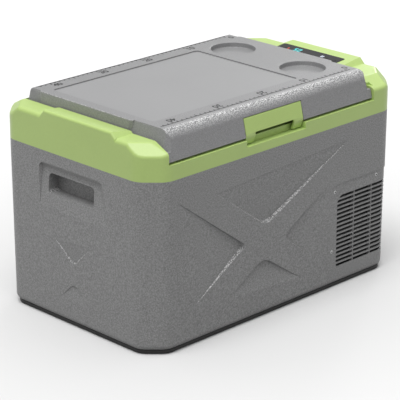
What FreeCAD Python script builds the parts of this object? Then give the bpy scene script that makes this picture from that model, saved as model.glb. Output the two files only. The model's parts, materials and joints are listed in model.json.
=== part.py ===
"""Compressor cooler fridge: a 12/24 V chest with a hinged lid, built as its separate pieces.

Millimetres. +X runs along the body to the machine end, -Y is the front with the latch,
+Z is up. The origin is on the floor under the middle of the body.
"""
import FreeCAD, Part
import math
import os

V = FreeCAD.Vector
X_AXIS = V(1, 0, 0)
Y_AXIS = V(0, 1, 0)
Z_AXIS = V(0, 0, 1)

# ---------------------------------------------------------------- body
body_length = 580.0        # over the two ends, where the shell meets the bezel
body_depth = 365.4         # front to back, at the same level
HALF_LENGTH = body_length / 2
HALF_DEPTH = body_depth / 2

shell_z = 7.0              # height of the shell's lower edge
shell_height = 280.0       # from there up to the joint with the bezel
split_z = shell_z + shell_height
shell_draft = 1.3          # how far each side leans in from the joint line to the foot
shell_wall = 3.5
corner_leg = 34.0          # 45 degree corner of the plan outline
corner_radius = 30.0       # rounds that corner into the faces
foot_radius = 9.0          # rounded lower edge

plinth_bottom_z = 1.0
plinth_inset = 5.0
rubber_foot_radius = 14.0
rubber_foot_height = 4.0
rubber_foot_inset = 70.0   # from the ends and from the front and back

# ---------------------------------------------------------------- bezel
bezel_band = 25.0          # from the joint up to the deck that the lid closes on
bezel_rim = 33.0           # from the deck up to the bezel's top
deck_z = split_z + bezel_band
bezel_top_z = deck_z + bezel_rim
deck_thickness = 3.5
bezel_wall = 4.0
shoulder_drop = 15.0       # the front and back shoulders start to lean in this far down
shoulder_z = bezel_top_z - shoulder_drop
shoulder_run = 31.0        # how far they lean in before they are level
corner_facet_drop = 18.0
corner_facet_z = bezel_top_z - corner_facet_drop
end_rise = 9.5             # the middle of each end stands this much above the bezel top
end_rise_fall = 6.0        # and slopes down this much towards the lid
end_rise_front = 90.7      # from the front face to the raised part
end_rise_back = 119.7      # from the back face to it
end_rise_ramp = 9.5
end_rise_front_y = -HALF_DEPTH + end_rise_front
end_rise_back_y = HALF_DEPTH - end_rise_back
end_edge_radius = 4.0       # rounds the raised ends
bezel_edge_radius = 7.0     # rounds the creases of the bezel's top
side_notch_width = 6.0     # small notch in the bezel beside the front right corner of the lid
side_notch_length = 12.0
side_notch_depth = 11.0
side_notch_from_front = 5.7

# ---------------------------------------------------------------- lid
lid_from_left_end = 39.5
lid_from_right_end = 72.5
lid_from_front = 3.2
lid_from_back = 33.7
lid_seat = 4.0             # the seal's room between deck and lid
lid_height = 47.0
lid_left_x = -HALF_LENGTH + lid_from_left_end
lid_right_x = HALF_LENGTH - lid_from_right_end
lid_front_y = -HALF_DEPTH + lid_from_front
lid_back_y = HALF_DEPTH - lid_from_back
lid_underside_z = deck_z + lid_seat
lid_top_z = lid_underside_z + lid_height
lid_front_lean = 10.9      # the front leans back this much over the lid's height
lid_front_radius = 20.0
lid_back_radius = 7.0
lid_skirt = 15.0           # upright lower part of the lid's ends
lid_shoulder_z = lid_underside_z + lid_skirt
lid_end_lean = 8.5         # how far the ends lean in above it, at their corners
lid_middle_lean = 3.0      # along the middle of each end
lid_middle_from_front = 95.5
lid_middle_from_back = 37.0
lid_middle_front_y = lid_front_y + lid_middle_from_front
lid_middle_back_y = lid_back_y - lid_middle_from_back
lid_corner_chamfer = 8.5   # cuts the lid's front corners above the skirt
lid_wall = 3.0
lid_side_gap = 1.7         # lid to bezel at the ends
lid_back_gap = 2.3         # and at the back, where the lid's back edge swings past

cup_radius = 38.4
cup_depth = 9.0
cup_from_lid_end = 68.5
cup_spacing = 161.0
cup_from_front = 97.7
cup_corner_radius = 2.5
cup_x = lid_right_x - cup_from_lid_end
cup_front_y = -HALF_DEPTH + cup_from_front
cup_back_y = cup_front_y + cup_spacing

tray_from_lid_left = 22.5
tray_from_lid_right = 120.0
tray_from_lid_front = 57.5
tray_from_lid_back = 37.0
tray_depth = 1.8
tray_corner_radius = 6.0
tray_left_x = lid_left_x + tray_from_lid_left
tray_right_x = lid_right_x - tray_from_lid_right
tray_front_y = lid_front_y + tray_from_lid_front
tray_back_y = lid_back_y - tray_from_lid_back

# ---------------------------------------------------------------- machine bay and tub
bay_length = 172.0         # the machine bay takes the right end over this length
bay_height = 178.0         # above the shell's lower edge
bay_left_x = HALF_LENGTH - bay_length
bay_top_z = shell_z + bay_height
bay_corner_radius = 20.0
seam_gap = 0.6
cover_inset = 1.2          # the machine cover sits this far inside the shell's faces
cover_wall = 2.5

cavity_from_left_end = 78.0
cavity_from_bay = 21.0
cavity_from_front = 52.7   # and from the back
cavity_floor_height = 45.0
cavity_left_x = -HALF_LENGTH + cavity_from_left_end
cavity_right_x = bay_left_x - cavity_from_bay
cavity_half_depth = HALF_DEPTH - cavity_from_front
cavity_floor_z = shell_z + cavity_floor_height
cavity_corner_radius = 18.0
shelf_from_right_end = 108.0
shelf_foam = 21.0          # foam between the bay's roof and the shelf
shelf_right_x = HALF_LENGTH - shelf_from_right_end
shelf_floor_z = bay_top_z + shelf_foam
liner_wall = 2.0
liner_flange = 9.0

louvre_from_bay = 17.5
louvre_from_foot = 28.0
louvre_from_bay_top = 20.5
louvre_reach = 70.7        # how far back along the end face the slots run
louvre_count = 17
louvre_slot_height = 5.1
louvre_foot_radius = 8.0
louvre_top_radius = 17.0
louvre_left_x = bay_left_x + louvre_from_bay
louvre_bottom_z = shell_z + louvre_from_foot
louvre_top_z = bay_top_z - louvre_from_bay_top
louvre_end_y = -HALF_DEPTH + louvre_reach
louvre_rib_width = 2.4
louvre_rib_depth = 7.0
louvre_rib_margin = 3.0
louvre_rib_xs = [louvre_left_x + 42.5, louvre_left_x + 86.5]

screw_head_radius = 2.6
screw_head_height = 1.4
screw_head_proud = 0.5
screw_head_clear = 0.1
screw_shank_radius = 1.4
screw_shank_clear = 0.05
screw_shank_length = 7.0
cover_screw_places = [     # (x, z) of the screws in the cover's front
    (bay_left_x + 11.0, bay_top_z - 13.0),
    (bay_left_x + 115.5, bay_top_z - 7.5),
    (bay_left_x + 6.5, shell_z + 59.5),
]

# ---------------------------------------------------------------- hand recesses
grip_front_y = -48.0
grip_back_y = 59.0
grip_from_split = 36.5     # the opening's upper edge is this far under the bezel
grip_height = 34.5
grip_top_z = split_z - grip_from_split
grip_bottom_z = grip_top_z - grip_height
grip_depth = 25.0          # from the shell's face to the back of the recess
grip_hook_height = 12.0    # finger room above the opening's upper edge
grip_corner_radius = 8.0
grip_wall = 2.5
grip_panel_depth = 6.0     # the sunk panel round the opening, at its upper edge
grip_panel_top_z = grip_top_z + 16.5
grip_panel_bottom_z = grip_bottom_z - 29.0
grip_panel_back_y = grip_back_y + 19.0
grip_panel_front_y = grip_front_y - 24.0
grip_panel_side_slope = 11.0
grip_panel_back_slope = 3.0
grip_panel_top_slope = 8.0
grip_panel_corner = 12.0

# ---------------------------------------------------------------- hinges
hinge_from_lid = 14.0      # the hinge axis stands this far behind the lid
hinge_above_underside = 22.0
hinge_y = lid_back_y + hinge_from_lid
hinge_z = lid_underside_z + hinge_above_underside
hinge_pin_radius = 2.5
hinge_running_gap = 0.05
hinge_barrel_radius = 5.5
hinge_spacing = 300.0      # between the two hinges
hinge_centre_x = (lid_left_x + lid_right_x) / 2
hinge_leaf_width = 34.0
hinge_ear_width = 8.0
hinge_side_gap = 0.5
hinge_leaf_thickness = 4.0
hinge_plate_thickness = 1.2
hinge_plate_reach = 8.0
hinge_foot_thickness = 3.0
hinge_foot_above_deck = 6.0
hinge_foot_gap = 0.5

# ---------------------------------------------------------------- latch
latch_centre_x = (lid_left_x + lid_right_x) / 2 - 0.1
latch_width = 131.0
latch_above_underside = 30.0
latch_below_underside = 13.0
latch_top_z = lid_underside_z + latch_above_underside
latch_bottom_z = lid_underside_z - latch_below_underside
latch_thickness = 3.6
latch_slot_width = 89.0
latch_slot_above = 5.0     # the finger slot's upper edge over the lid's underside
latch_slot_top_z = lid_underside_z + latch_slot_above
latch_slot_flare = 1.0
latch_slot_radius = 1.5
latch_curl_z = lid_underside_z + 1.0   # the legs curl in below this height
latch_curl_in = 5.5
latch_curl_radius = 12.0
latch_gap = 1.3
latch_pin_radius = 1.5
latch_barrel_radius = 3.6
latch_barrel_skin = 0.4    # plastic between the barrel and the latch's face
latch_pocket_depth = 15.0  # finger room behind the latch
latch_notch_floor_z = deck_z - 10.5
latch_notch_side = 2.4
latch_notch_depth = 15.0

# ---------------------------------------------------------------- seal and lid panel
gasket_width = 9.0
gasket_clear = 0.3
gasket_from_tub = 2.0
plug_depth = 14.0          # the lid's inner panel dips this far into the cavity
plug_gap = 6.0
lid_liner_wall = 2.0
lid_liner_clear = 0.3

# ---------------------------------------------------------------- control panel
panel_length = 140.0       # along Y
panel_width = 34.0
panel_thickness = 2.0
panel_corner_radius = 3.0
panel_from_right_end = 43.0
panel_centre_x = HALF_LENGTH - panel_from_right_end
panel_centre_y = -9.0
panel_clear = 0.3
panel_seat_proud = 0.6
panel_ledge = 4.0          # the bezel's ledge that the panel rests on
panel_room_depth = 28.75
key_radius = 5.0
key_gap = 0.3
key_travel = 0.8
key_proud = 0.5
key_foot_reach = 1.6
key_foot_thickness = 1.4
key_foot_clear = 0.02
key_pitch = 19.0
key_from_panel_end = 12.5
key_board_gap = 0.3
control_board_thickness = 1.6
control_board_inset = 4.3
board_spacer_length = 16.0
board_spacer_width = 8.0

# ---------------------------------------------------------------- fan
fan_radius = 50.0
fan_frame_width = 112.0
fan_frame_depth = 24.0
fan_frame_corner = 5.0
fan_tip_gap = 2.0
fan_blades = 7
fan_blade_thickness = 1.8
fan_blade_share = 1.2      # blade width as a share of the rotor's depth
fan_blade_pitch = 38.0     # degrees
fan_axle_radius = 2.0
fan_hub_radius = 17.0
fan_arm_width = 6.0
fan_arm_thickness = 4.0
fan_axle_gap = 2.0
fan_rotor_gap = 3.0
fan_rotor_short = 9.0      # the rotor is this much shorter than its housing
fan_from_condenser = 8.0
fan_from_right_end = 90.0
fan_height = 81.0
fan_x = HALF_LENGTH - fan_from_right_end
fan_z = shell_z + fan_height

# ---------------------------------------------------------------- condenser
condenser_from_bay = 28.0
condenser_from_right_end = 34.0
condenser_from_front = 18.7
condenser_from_foot = 25.0
condenser_left_x = bay_left_x + condenser_from_bay
condenser_right_x = HALF_LENGTH - condenser_from_right_end
condenser_front_y = -HALF_DEPTH + condenser_from_front
condenser_bottom_z = shell_z + condenser_from_foot
condenser_height = 120.0
condenser_depth = 24.0
condenser_fins = 15
condenser_fin_thickness = 0.8
condenser_tube_radius = 3.0
condenser_rows = 5
condenser_overhang = 15.0  # how far the tube's bends stand out of the fins
condenser_plate_thickness = 1.0
condenser_plate_gap = 1.0
fan_front_y = condenser_front_y + condenser_depth + fan_from_condenser

# ---------------------------------------------------------------- compressor and pipes
compressor_from_right_end = 90.0
compressor_from_fan = 146.0
compressor_x = HALF_LENGTH - compressor_from_right_end
compressor_y = fan_front_y + fan_frame_depth + compressor_from_fan
compressor_radius = 52.0
compressor_height = 108.0
compressor_crown_radius = 26.0
compressor_seam_share = 0.55
compressor_seam_reach = 2.5
compressor_seam_height = 4.0
compressor_plate_thickness = 2.5
compressor_plate_length = 128.0
compressor_plate_width = 108.0
compressor_plate_corner = 10.0
grommet_radius = 9.0
grommet_height = 10.0
grommet_inset = 13.0
bolt_radius = 2.8
bolt_head_radius = 6.3
bolt_head_height = 3.5
pipe_radius = 3.2
pipe_from_axis = 14.0
suction_offset = 12.0
suction_z = bay_top_z - 20.0
suction_bend = 10.0
discharge_offset_x = 12.0
discharge_offset_y = 10.0
discharge_rise = 30.0
discharge_out = 12.0
discharge_bend = 8.0

# ---------------------------------------------------------------- small pieces
evaporator_thickness = 1.5
evaporator_from_floor = 32.0
evaporator_from_shelf = 6.0
evaporator_bottom_z = cavity_floor_z + evaporator_from_floor

socket_y = 40.0
socket_z = shell_z + 53.0
socket_width = 30.0
socket_height = 20.0
socket_depth = 18.0
socket_corner_radius = 3.0
socket_wall = 2.0
socket_clear = 0.05
socket_sunk = 1.6          # its rim lies this far behind the cover's face
inlet_pin_radius = 2.0
inlet_pin_spacing = 12.0
inlet_pin_short = 5.0

power_board_from_bulkhead = 8.0
power_board_thickness = 1.6
power_board_length = 60.0
power_board_height = 100.0
power_board_from_back = 14.7
power_board_from_foot = 33.0
power_post_radius = 2.5
power_post_inset = 5.0
power_cooler_depth = 13.4
power_can_radius = 7.0
power_can_height = 18.0

divider_from_left = 152.0
divider_thickness = 3.0
divider_clear = 0.3
divider_slot_length = 30.0
divider_slot_height = 10.0
divider_slot_radius = 3.0
divider_slot_pitch_y = 38.0
divider_slot_pitch_z = 26.0
divider_slot_rows = 5
divider_slot_columns = 6
divider_slot_from_side = 20.0
divider_slot_from_floor = 18.0

lamp_length = 32.0
lamp_height = 12.0
lamp_depth = 4.0
lamp_edge_radius = 1.5
lamp_above_shelf = 52.0
sensor_length = 20.0
sensor_height = 10.0
sensor_depth = 5.0
sensor_above_floor = 66.0

FRONT_CREASE_Y = -(HALF_DEPTH - shoulder_run)
WELL_LEFT_X = lid_left_x - lid_side_gap
WELL_RIGHT_X = lid_right_x + lid_side_gap
WELL_BACK_Y = lid_back_y + lid_back_gap
REACH = 60.0               # how far a cutting tool runs past the piece that it cuts


# ---------------------------------------------------------------- helpers
def box(x0, x1, y0, y1, z0, z1):
    """A box between two opposite corners."""
    return Part.makeBox(x1 - x0, y1 - y0, z1 - z0, V(x0, y0, z0))


def rounded_wire(points, radii):
    """A closed flat wire through the points, with each corner turned by its own radius."""
    corners = [V(*point) for point in points]
    count = len(corners)
    starts, ends, arcs = [], [], []
    for index, corner in enumerate(corners):
        back = (corners[index - 1] - corner).normalize()
        on = (corners[(index + 1) % count] - corner).normalize()
        radius = radii[index] if isinstance(radii, (list, tuple)) else radii
        if radius <= 0:
            starts.append(corner)
            ends.append(corner)
            arcs.append(None)
            continue
        half_turn = (math.pi - back.getAngle(on)) / 2
        reach = radius * math.tan(half_turn)
        inward = (back + on).normalize()
        middle = corner + inward * (radius / math.cos(half_turn) - radius)
        starts.append(corner + back * reach)
        ends.append(corner + on * reach)
        arcs.append(Part.Arc(starts[-1], middle, ends[-1]).toShape())
    edges = []
    for index in range(count):
        if arcs[index] is not None:
            edges.append(arcs[index])
        start = ends[index]
        end = starts[(index + 1) % count]
        if start.distanceToPoint(end) > 1e-6:
            edges.append(Part.LineSegment(start, end).toShape())
    return Part.Wire(edges)


def prism(points, direction, radii=0.0):
    """A flat outline, corners rounded by radii, pushed along direction."""
    return Part.Face(rounded_wire(points, radii)).extrude(direction)


def rectangle(x0, x1, y0, y1, z):
    """The four corners of a level rectangle."""
    return [(x0, y0, z), (x1, y0, z), (x1, y1, z), (x0, y1, z)]


def rounded_box(x0, x1, y0, y1, z0, z1, radius):
    """A box whose upright edges are rounded."""
    return prism(rectangle(x0, x1, y0, y1, z0), V(0, 0, z1 - z0), radius)


def polyhedron(points, faces):
    """A solid from its corner points and its faces, each a list of point numbers."""
    made = []
    for face in faces:
        ring = [V(*points[number]) for number in face]
        made.append(Part.Face(Part.makePolygon(ring + [ring[0]])))
    shell = Part.Shell(made)
    shell.sewShape()
    solid = Part.Solid(shell)
    if solid.Volume < 0:
        solid.reverse()
    return solid


def convex_solid(points, faces):
    """As polyhedron, for a convex form: each face is turned to look outwards first."""
    middle = V(0, 0, 0)
    for point in points:
        middle += V(*point) * (1.0 / len(points))
    turned = []
    for face in faces:
        a, b, c = [V(*points[number]) for number in face[:3]]
        outwards = (b - a).cross(c - b).dot(a - middle) > 0
        turned.append(tuple(face) if outwards else tuple(reversed(face)))
    return polyhedron(points, turned)


def cylinder(radius, length, base, direction=Z_AXIS):
    """A cylinder from its base point along direction."""
    return Part.makeCylinder(radius, length, V(*base), direction)


def mirrored_x(shape):
    return shape.mirror(V(0, 0, 0), X_AXIS)


def mirrored_y(shape):
    return shape.mirror(V(0, 0, 0), Y_AXIS)


def joined(shapes):
    """Several touching solids as one."""
    whole = shapes[0].multiFuse(shapes[1:]) if len(shapes) > 1 else shapes[0]
    return whole.removeSplitter()


def plan_corners(inset, z):
    """The eight corners of the body's plan outline at height z, drawn in by inset."""
    lean = shell_draft * max(0.0, split_z - z) / (split_z - shell_z)
    length = HALF_LENGTH - inset - lean
    depth = HALF_DEPTH - inset - lean
    leg = corner_leg - inset * (2 - math.sqrt(2))
    return [(-length + leg, -depth, z), (length - leg, -depth, z),
            (length, -depth + leg, z), (length, depth - leg, z),
            (length - leg, depth, z), (-length + leg, depth, z),
            (-length, depth - leg, z), (-length, -depth + leg, z)]


def plan_wire(inset, z):
    """That outline with its corners rounded."""
    return rounded_wire(plan_corners(inset, z), corner_radius - inset)


def body_form(inset, bottom_z, top_z, foot):
    """The body's outer form, drawn in by inset, with its lower edge rounded by foot."""
    low = plan_corners(inset, bottom_z)
    high = plan_corners(inset, top_z)
    count = len(low)
    sides = [(k, (k + 1) % count, count + (k + 1) % count, count + k) for k in range(count)]
    ends = [tuple(reversed(range(count))), tuple(range(count, 2 * count))]
    form = polyhedron(low + high, ends + sides)
    upright = [edge for edge in form.Edges if edge.BoundBox.ZLength > (top_z - bottom_z) / 2]
    form = form.makeFillet(corner_radius - inset, upright)
    if foot > 0:
        rim = [edge for edge in form.Edges if abs(edge.BoundBox.ZMax - bottom_z) < 0.01]
        form = form.makeFillet(foot, rim)
    return form


def front_face_y(z):
    """Where the drafted front face stands at height z."""
    return -(HALF_DEPTH - shell_draft * (split_z - z) / (split_z - shell_z))


def half_space_above(y0, z0, y1, z1):
    """What lies above a slope that runs along X, from (y0, z0) up to (y1, z1)."""
    side = 1 if y1 > y0 else -1
    slope = (z1 - z0) / (y1 - y0)
    low = (-HALF_LENGTH - REACH, y0 - side * REACH, z0 - side * REACH * slope)
    points = [low, (low[0], y1, z1), (low[0], y1, z1 + REACH), (low[0], low[1], z1 + REACH)]
    return prism(points, V(2 * (HALF_LENGTH + REACH), 0, 0))


# ---------------------------------------------------------------- embossed pattern and grips
def x_pocket(arms, apex, depth, radius, bring_in):
    """A sunk triangle of the X pattern, drawn on the plane y = 0 and sinking towards +Y.

    arms are the far ends of its two edges, and apex is where they meet. It is deepest there,
    and its floor comes up to the face at the line between the arms' ends.
    bring_in moves the floor's outline away from the apex, so that the walls slope.
    """
    rim = [V(arms[0][0], 0, arms[0][1]), V(apex[0], 0, apex[1]), V(arms[1][0], 0, arms[1][1])]
    middle = (rim[0] + rim[2]) * 0.5
    away = (middle - rim[1]).normalize()
    shift = away * bring_in + V(0, depth, 0)
    low = rounded_wire([point - shift for point in rim], [0, radius, 0])
    high = rounded_wire([point + shift for point in rim], [0, radius, 0])
    tool = Part.makeLoft([low, high], True, True)
    side = (rim[2] - rim[0]).normalize() * body_length
    climb = middle - (rim[1] + shift)
    start = rim[1] + shift - climb
    end = middle + climb
    corners = [start - side, start + side, end + side, end - side]
    under = Part.Face(Part.makePolygon(corners + [corners[0]])).extrude(V(0, 4 * REACH, 0))
    return tool.cut(under)


def front_pockets(offset):
    """The four sunk triangles of the front's X, moved in by offset."""
    depth = 6.0
    slope_in = 4.6
    specs = [
        (((-232, 246), (-206, 62)), (-83, 137.5), 6.0),
        (((-152, 242), (158, 258)), (-38.4, 157.5), 30.0),
        (((106, 188), (80, 70)), (0.4, 128), 11.0),
        (((-128, 53), (50, 42)), (-43.4, 105.7), 30.0),
    ]
    pockets = []
    for arms, apex, radius in specs:
        pocket = x_pocket(arms, apex, depth, radius, slope_in)
        pocket.translate(V(0, front_face_y(apex[1]) + offset, 0))
        pockets.append(pocket)
    return pockets


def end_pockets(offset):
    """The two faint triangles of the small X on the left end, moved in by offset."""
    depth = 2.4
    slope_in = 4.0
    specs = [
        (((-44, 144), (40, 148)), (0, 107), 12.0),
        (((-36, 44), (36, 42)), (0, 79), 12.0),
    ]
    pockets = []
    for arms, apex, radius in specs:
        pocket = x_pocket(arms, apex, depth, radius, slope_in)
        pocket.rotate(V(0, 0, 0), Z_AXIS, -90)
        lean = shell_draft * (split_z - apex[1]) / (split_z - shell_z)
        pocket.translate(V(-HALF_LENGTH + lean + offset, 0, 0))
        pockets.append(pocket)
    return pockets


def grip_panel(offset):
    """The sunk panel round the left hand recess: deepest at its top, level at its foot."""
    face = -HALF_LENGTH + offset
    deep = face + grip_panel_depth
    low_front = grip_panel_front_y - grip_panel_side_slope
    deep_top = grip_panel_top_z - grip_panel_top_slope
    points = [(face, grip_panel_back_y, grip_panel_top_z),
              (face, grip_panel_front_y, grip_panel_top_z),
              (face, low_front, grip_panel_bottom_z),
              (face, grip_panel_back_y, grip_panel_bottom_z),
              (deep, grip_panel_back_y - grip_panel_back_slope, deep_top),
              (deep, grip_panel_front_y + grip_panel_side_slope, deep_top)]
    wedge = polyhedron(points, [(0, 1, 2, 3), (0, 4, 5, 1), (1, 5, 2), (0, 3, 4),
                                (2, 5, 4), (2, 4, 3)])
    outline = [(face - shell_wall, y, z) for x, y, z in points[:4]]
    rounded = prism(outline, V(shell_wall + grip_panel_depth + shell_wall, 0, 0),
                    [grip_panel_corner, grip_panel_corner, 0, 0])
    slab = prism([(face - shell_wall, y, z) for x, y, z in points[:4]], V(shell_wall, 0, 0))
    return joined([wedge, slab]).common(rounded)


def grip_hole():
    """The left hand recess's opening through the end wall."""
    points = [(-HALF_LENGTH - REACH, grip_front_y, grip_bottom_z),
              (-HALF_LENGTH - REACH, grip_back_y, grip_bottom_z),
              (-HALF_LENGTH - REACH, grip_back_y, grip_top_z),
              (-HALF_LENGTH - REACH, grip_front_y, grip_top_z)]
    return prism(points, V(REACH + grip_depth, 0, 0), grip_corner_radius)


def grip_block(grow):
    """The left grip's hollow behind the end wall, grown by grow on every side."""
    x0 = -HALF_LENGTH + shell_wall
    points = [(x0, grip_front_y - grow, grip_bottom_z - grow),
              (x0, grip_back_y + grow, grip_bottom_z - grow),
              (x0, grip_back_y + grow, grip_top_z + grip_hook_height + grow),
              (x0, grip_front_y - grow, grip_top_z + grip_hook_height + grow)]
    depth = grip_depth - shell_wall + grow
    return prism(points, V(depth, 0, 0), grip_corner_radius + grow)


# ---------------------------------------------------------------- shell, foam, liner
def bay_form(grow):
    """The machine bay's outline through the whole depth, grown by grow on its two inner sides."""
    x0 = bay_left_x - grow
    z1 = bay_top_z + grow
    y0 = -HALF_DEPTH - REACH
    x1 = HALF_LENGTH + REACH
    points = [(x0, y0, -REACH), (x1, y0, -REACH), (x1, y0, z1), (x0, y0, z1)]
    return prism(points, V(0, 2 * (HALF_DEPTH + REACH), 0), [0, 0, 0, bay_corner_radius + grow])


def shell_and_room():
    """The grey outer shell, and the room inside it that the foam fills."""
    outer = body_form(0.0, shell_z, split_z, foot_radius)
    room = body_form(shell_wall, shell_z + shell_wall, split_z, foot_radius - shell_wall)
    room = room.cut(bay_form(shell_wall))
    sunk = front_pockets(0.0)
    backing = front_pockets(shell_wall)
    sunk += [mirrored_y(pocket) for pocket in sunk]
    backing += [mirrored_y(pocket) for pocket in backing]
    sunk += end_pockets(0.0)
    backing += end_pockets(shell_wall)
    sunk += [grip_panel(0.0), mirrored_x(grip_panel(0.0))]
    backing += [grip_panel(shell_wall), mirrored_x(grip_panel(shell_wall))]
    room = room.cut(backing)
    openings = [bay_form(0.0), grip_hole(), mirrored_x(grip_hole()), suction_hole()]
    shell = outer.cut([room] + openings + sunk)
    return shell, room


def cavity_forms(grow, top_z):
    """The main hollow and the raised shelf beside it, each grown by grow."""
    main = rounded_box(cavity_left_x - grow, cavity_right_x + grow,
                       -cavity_half_depth - grow, cavity_half_depth + grow,
                       cavity_floor_z - grow, top_z, cavity_corner_radius + grow)
    shelf = rounded_box(cavity_right_x - 3 * cavity_corner_radius, shelf_right_x + grow,
                        -cavity_half_depth - grow, cavity_half_depth + grow,
                        shelf_floor_z - grow, top_z, cavity_corner_radius + grow)
    return main.fuse(shelf)


def inner_liner(flange_z):
    """The white inner tub: a deep hollow, a raised shelf and a flange under the bezel."""
    tub = cavity_forms(liner_wall, flange_z)
    flange = rounded_box(cavity_left_x - liner_flange, shelf_right_x + liner_flange,
                         -cavity_half_depth - liner_flange, cavity_half_depth + liner_flange,
                         flange_z - liner_wall, flange_z, cavity_corner_radius + liner_flange)
    tub = tub.fuse(flange)
    return tub.cut(cavity_forms(0.0, flange_z + REACH)).removeSplitter()


def evaporator_plate():
    """The cold plate wrapped round the tub's lower walls."""
    def ring(grow):
        return rounded_box(cavity_left_x - grow, cavity_right_x + grow,
                           -cavity_half_depth - grow, cavity_half_depth + grow,
                           evaporator_bottom_z, shelf_floor_z - evaporator_from_shelf,
                           cavity_corner_radius + grow)
    return ring(liner_wall + evaporator_thickness).cut(ring(liner_wall))


# ---------------------------------------------------------------- bezel
def bezel_outer():
    """The green bezel's outer form, before the lid's well is cut."""
    block = Part.Face(plan_wire(0.0, split_z)).extrude(V(0, 0, bezel_top_z - split_z))
    front = half_space_above(-HALF_DEPTH, shoulder_z, FRONT_CREASE_Y, bezel_top_z)
    facet_run = bezel_top_z - corner_facet_z
    facets = []
    middle = (HALF_LENGTH - corner_leg / 2, HALF_DEPTH - corner_leg / 2)
    reach = facet_run / math.sqrt(2)
    for side_x in (-1, 1):
        for side_y in (-1, 1):
            out = V(side_x, side_y, 0).normalize()
            along = V(-side_y, side_x, 0).normalize() * 80
            foot = V(side_x * middle[0], side_y * middle[1], corner_facet_z)
            low = foot + out * REACH - V(0, 0, REACH)
            high = foot - out * (facet_run + REACH) + V(0, 0, facet_run + REACH)
            top = V(low.x, low.y, high.z)
            ring = [low - along, high - along, top - along]
            tool = Part.Face(Part.makePolygon(ring + [ring[0]])).extrude(along * 2)
            facets.append(tool)
    block = block.cut([front, mirrored_y(front)] + facets)
    creases = [edge for edge in block.Edges if edge.BoundBox.ZMin > split_z + 1]
    return block.makeFillet(bezel_edge_radius, creases)


def end_rise_block(well_x, side):
    """The raised middle of one end: side is -1 for the left end, 1 for the right."""
    foot_z = shoulder_z
    top_z = bezel_top_z + end_rise
    front = end_rise_front_y
    back = end_rise_back_y
    ramp = end_rise_ramp
    outline = [(0, front - ramp, foot_z), (0, front - ramp, bezel_top_z), (0, front, top_z),
               (0, back, top_z), (0, back + ramp, bezel_top_z), (0, back + ramp, foot_z)]
    span = body_length
    ridge = prism([(-span / 2, y, z) for x, y, z in outline], V(span, 0, 0))
    outer_x = side * HALF_LENGTH
    profile = [(outer_x, -HALF_DEPTH, foot_z), (outer_x, -HALF_DEPTH, top_z),
               (well_x, -HALF_DEPTH, top_z - end_rise_fall), (well_x, -HALF_DEPTH, foot_z)]
    return ridge.common(prism(profile, V(0, body_depth, 0)))


def slope_z(x):
    """Height of the right end's sloping top at x."""
    share = (x - WELL_RIGHT_X) / (HALF_LENGTH - WELL_RIGHT_X)
    return bezel_top_z + end_rise - end_rise_fall * (1 - share)


def bezel_frame():
    """The green frame: outer band, deck under the lid, and the raised ends."""
    outer = bezel_outer()
    outer = outer.fuse([end_rise_block(WELL_LEFT_X, -1), end_rise_block(WELL_RIGHT_X, 1)])
    outer = outer.removeSplitter()
    rims = [edge for edge in outer.Edges
            if edge.BoundBox.ZMin > bezel_top_z - 0.01
            and abs(abs(edge.BoundBox.XMin) - HALF_LENGTH) < 0.01
            and edge.BoundBox.XLength < 0.01]
    outer = outer.makeFillet(end_edge_radius, rims)
    well = box(WELL_LEFT_X, WELL_RIGHT_X, -HALF_DEPTH - REACH, WELL_BACK_Y,
               deck_z, lid_top_z + REACH)
    mouth = rounded_box(cavity_left_x, shelf_right_x, -cavity_half_depth, cavity_half_depth,
                        split_z - 1, deck_z + 1, cavity_corner_radius)
    under_z = deck_z - deck_thickness
    hollow = Part.Face(plan_wire(bezel_wall, split_z)).extrude(V(0, 0, under_z - split_z))
    notch_x0 = latch_centre_x - latch_width / 2 - latch_notch_side
    notch_x1 = latch_centre_x + latch_width / 2 + latch_notch_side
    notch_back = -HALF_DEPTH + latch_notch_depth
    keep = box(notch_x0 - bezel_wall, notch_x1 + bezel_wall, -HALF_DEPTH,
               notch_back + bezel_wall, latch_notch_floor_z - bezel_wall, under_z)
    hollow = hollow.cut(keep)
    facet_run = bezel_top_z - corner_facet_z
    room_y = HALF_DEPTH - corner_leg - facet_run - 2 * bezel_wall
    end_left = box(-HALF_LENGTH + bezel_wall, WELL_LEFT_X - bezel_wall, -room_y, room_y,
                   under_z, bezel_top_z - bezel_wall)
    end_right = box(WELL_RIGHT_X + bezel_wall, HALF_LENGTH - bezel_wall, -room_y, room_y,
                    under_z, bezel_top_z - bezel_wall)
    back_room = box(WELL_LEFT_X + bezel_wall, WELL_RIGHT_X - bezel_wall,
                    WELL_BACK_Y + bezel_wall, HALF_DEPTH - bezel_wall, under_z,
                    shoulder_z - bezel_wall)
    frame = outer.cut([well, mouth, hollow, end_left, end_right, back_room])
    frame = frame.cut([latch_notch(), control_pocket(), side_notch()] + hinge_pockets())
    return frame


def side_notch():
    """The small notch in the bezel beside the lid's front right corner."""
    y0 = -HALF_DEPTH + side_notch_from_front
    y1 = y0 + side_notch_length
    z0 = bezel_top_z - side_notch_depth
    z1 = bezel_top_z + REACH
    return box(WELL_RIGHT_X - 1, WELL_RIGHT_X + side_notch_width, y0, y1, z0, z1)


def latch_notch():
    """The notch in the bezel's front, with finger room behind the latch's legs."""
    x0 = latch_centre_x - latch_width / 2 - latch_notch_side
    x1 = latch_centre_x + latch_width / 2 + latch_notch_side
    y0 = -HALF_DEPTH - REACH
    y1 = -HALF_DEPTH + latch_notch_depth
    return box(x0, x1, y0, y1, latch_notch_floor_z, deck_z + REACH)


def control_centre():
    return V(panel_centre_x, panel_centre_y, slope_z(panel_centre_x))


def tilted(shape):
    """Lays a piece drawn level round the origin onto the right end's sloping top."""
    angle = math.degrees(math.atan2(end_rise_fall, HALF_LENGTH - WELL_RIGHT_X))
    shape.rotate(V(0, 0, 0), Y_AXIS, -angle)
    shape.translate(control_centre())
    return shape


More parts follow.
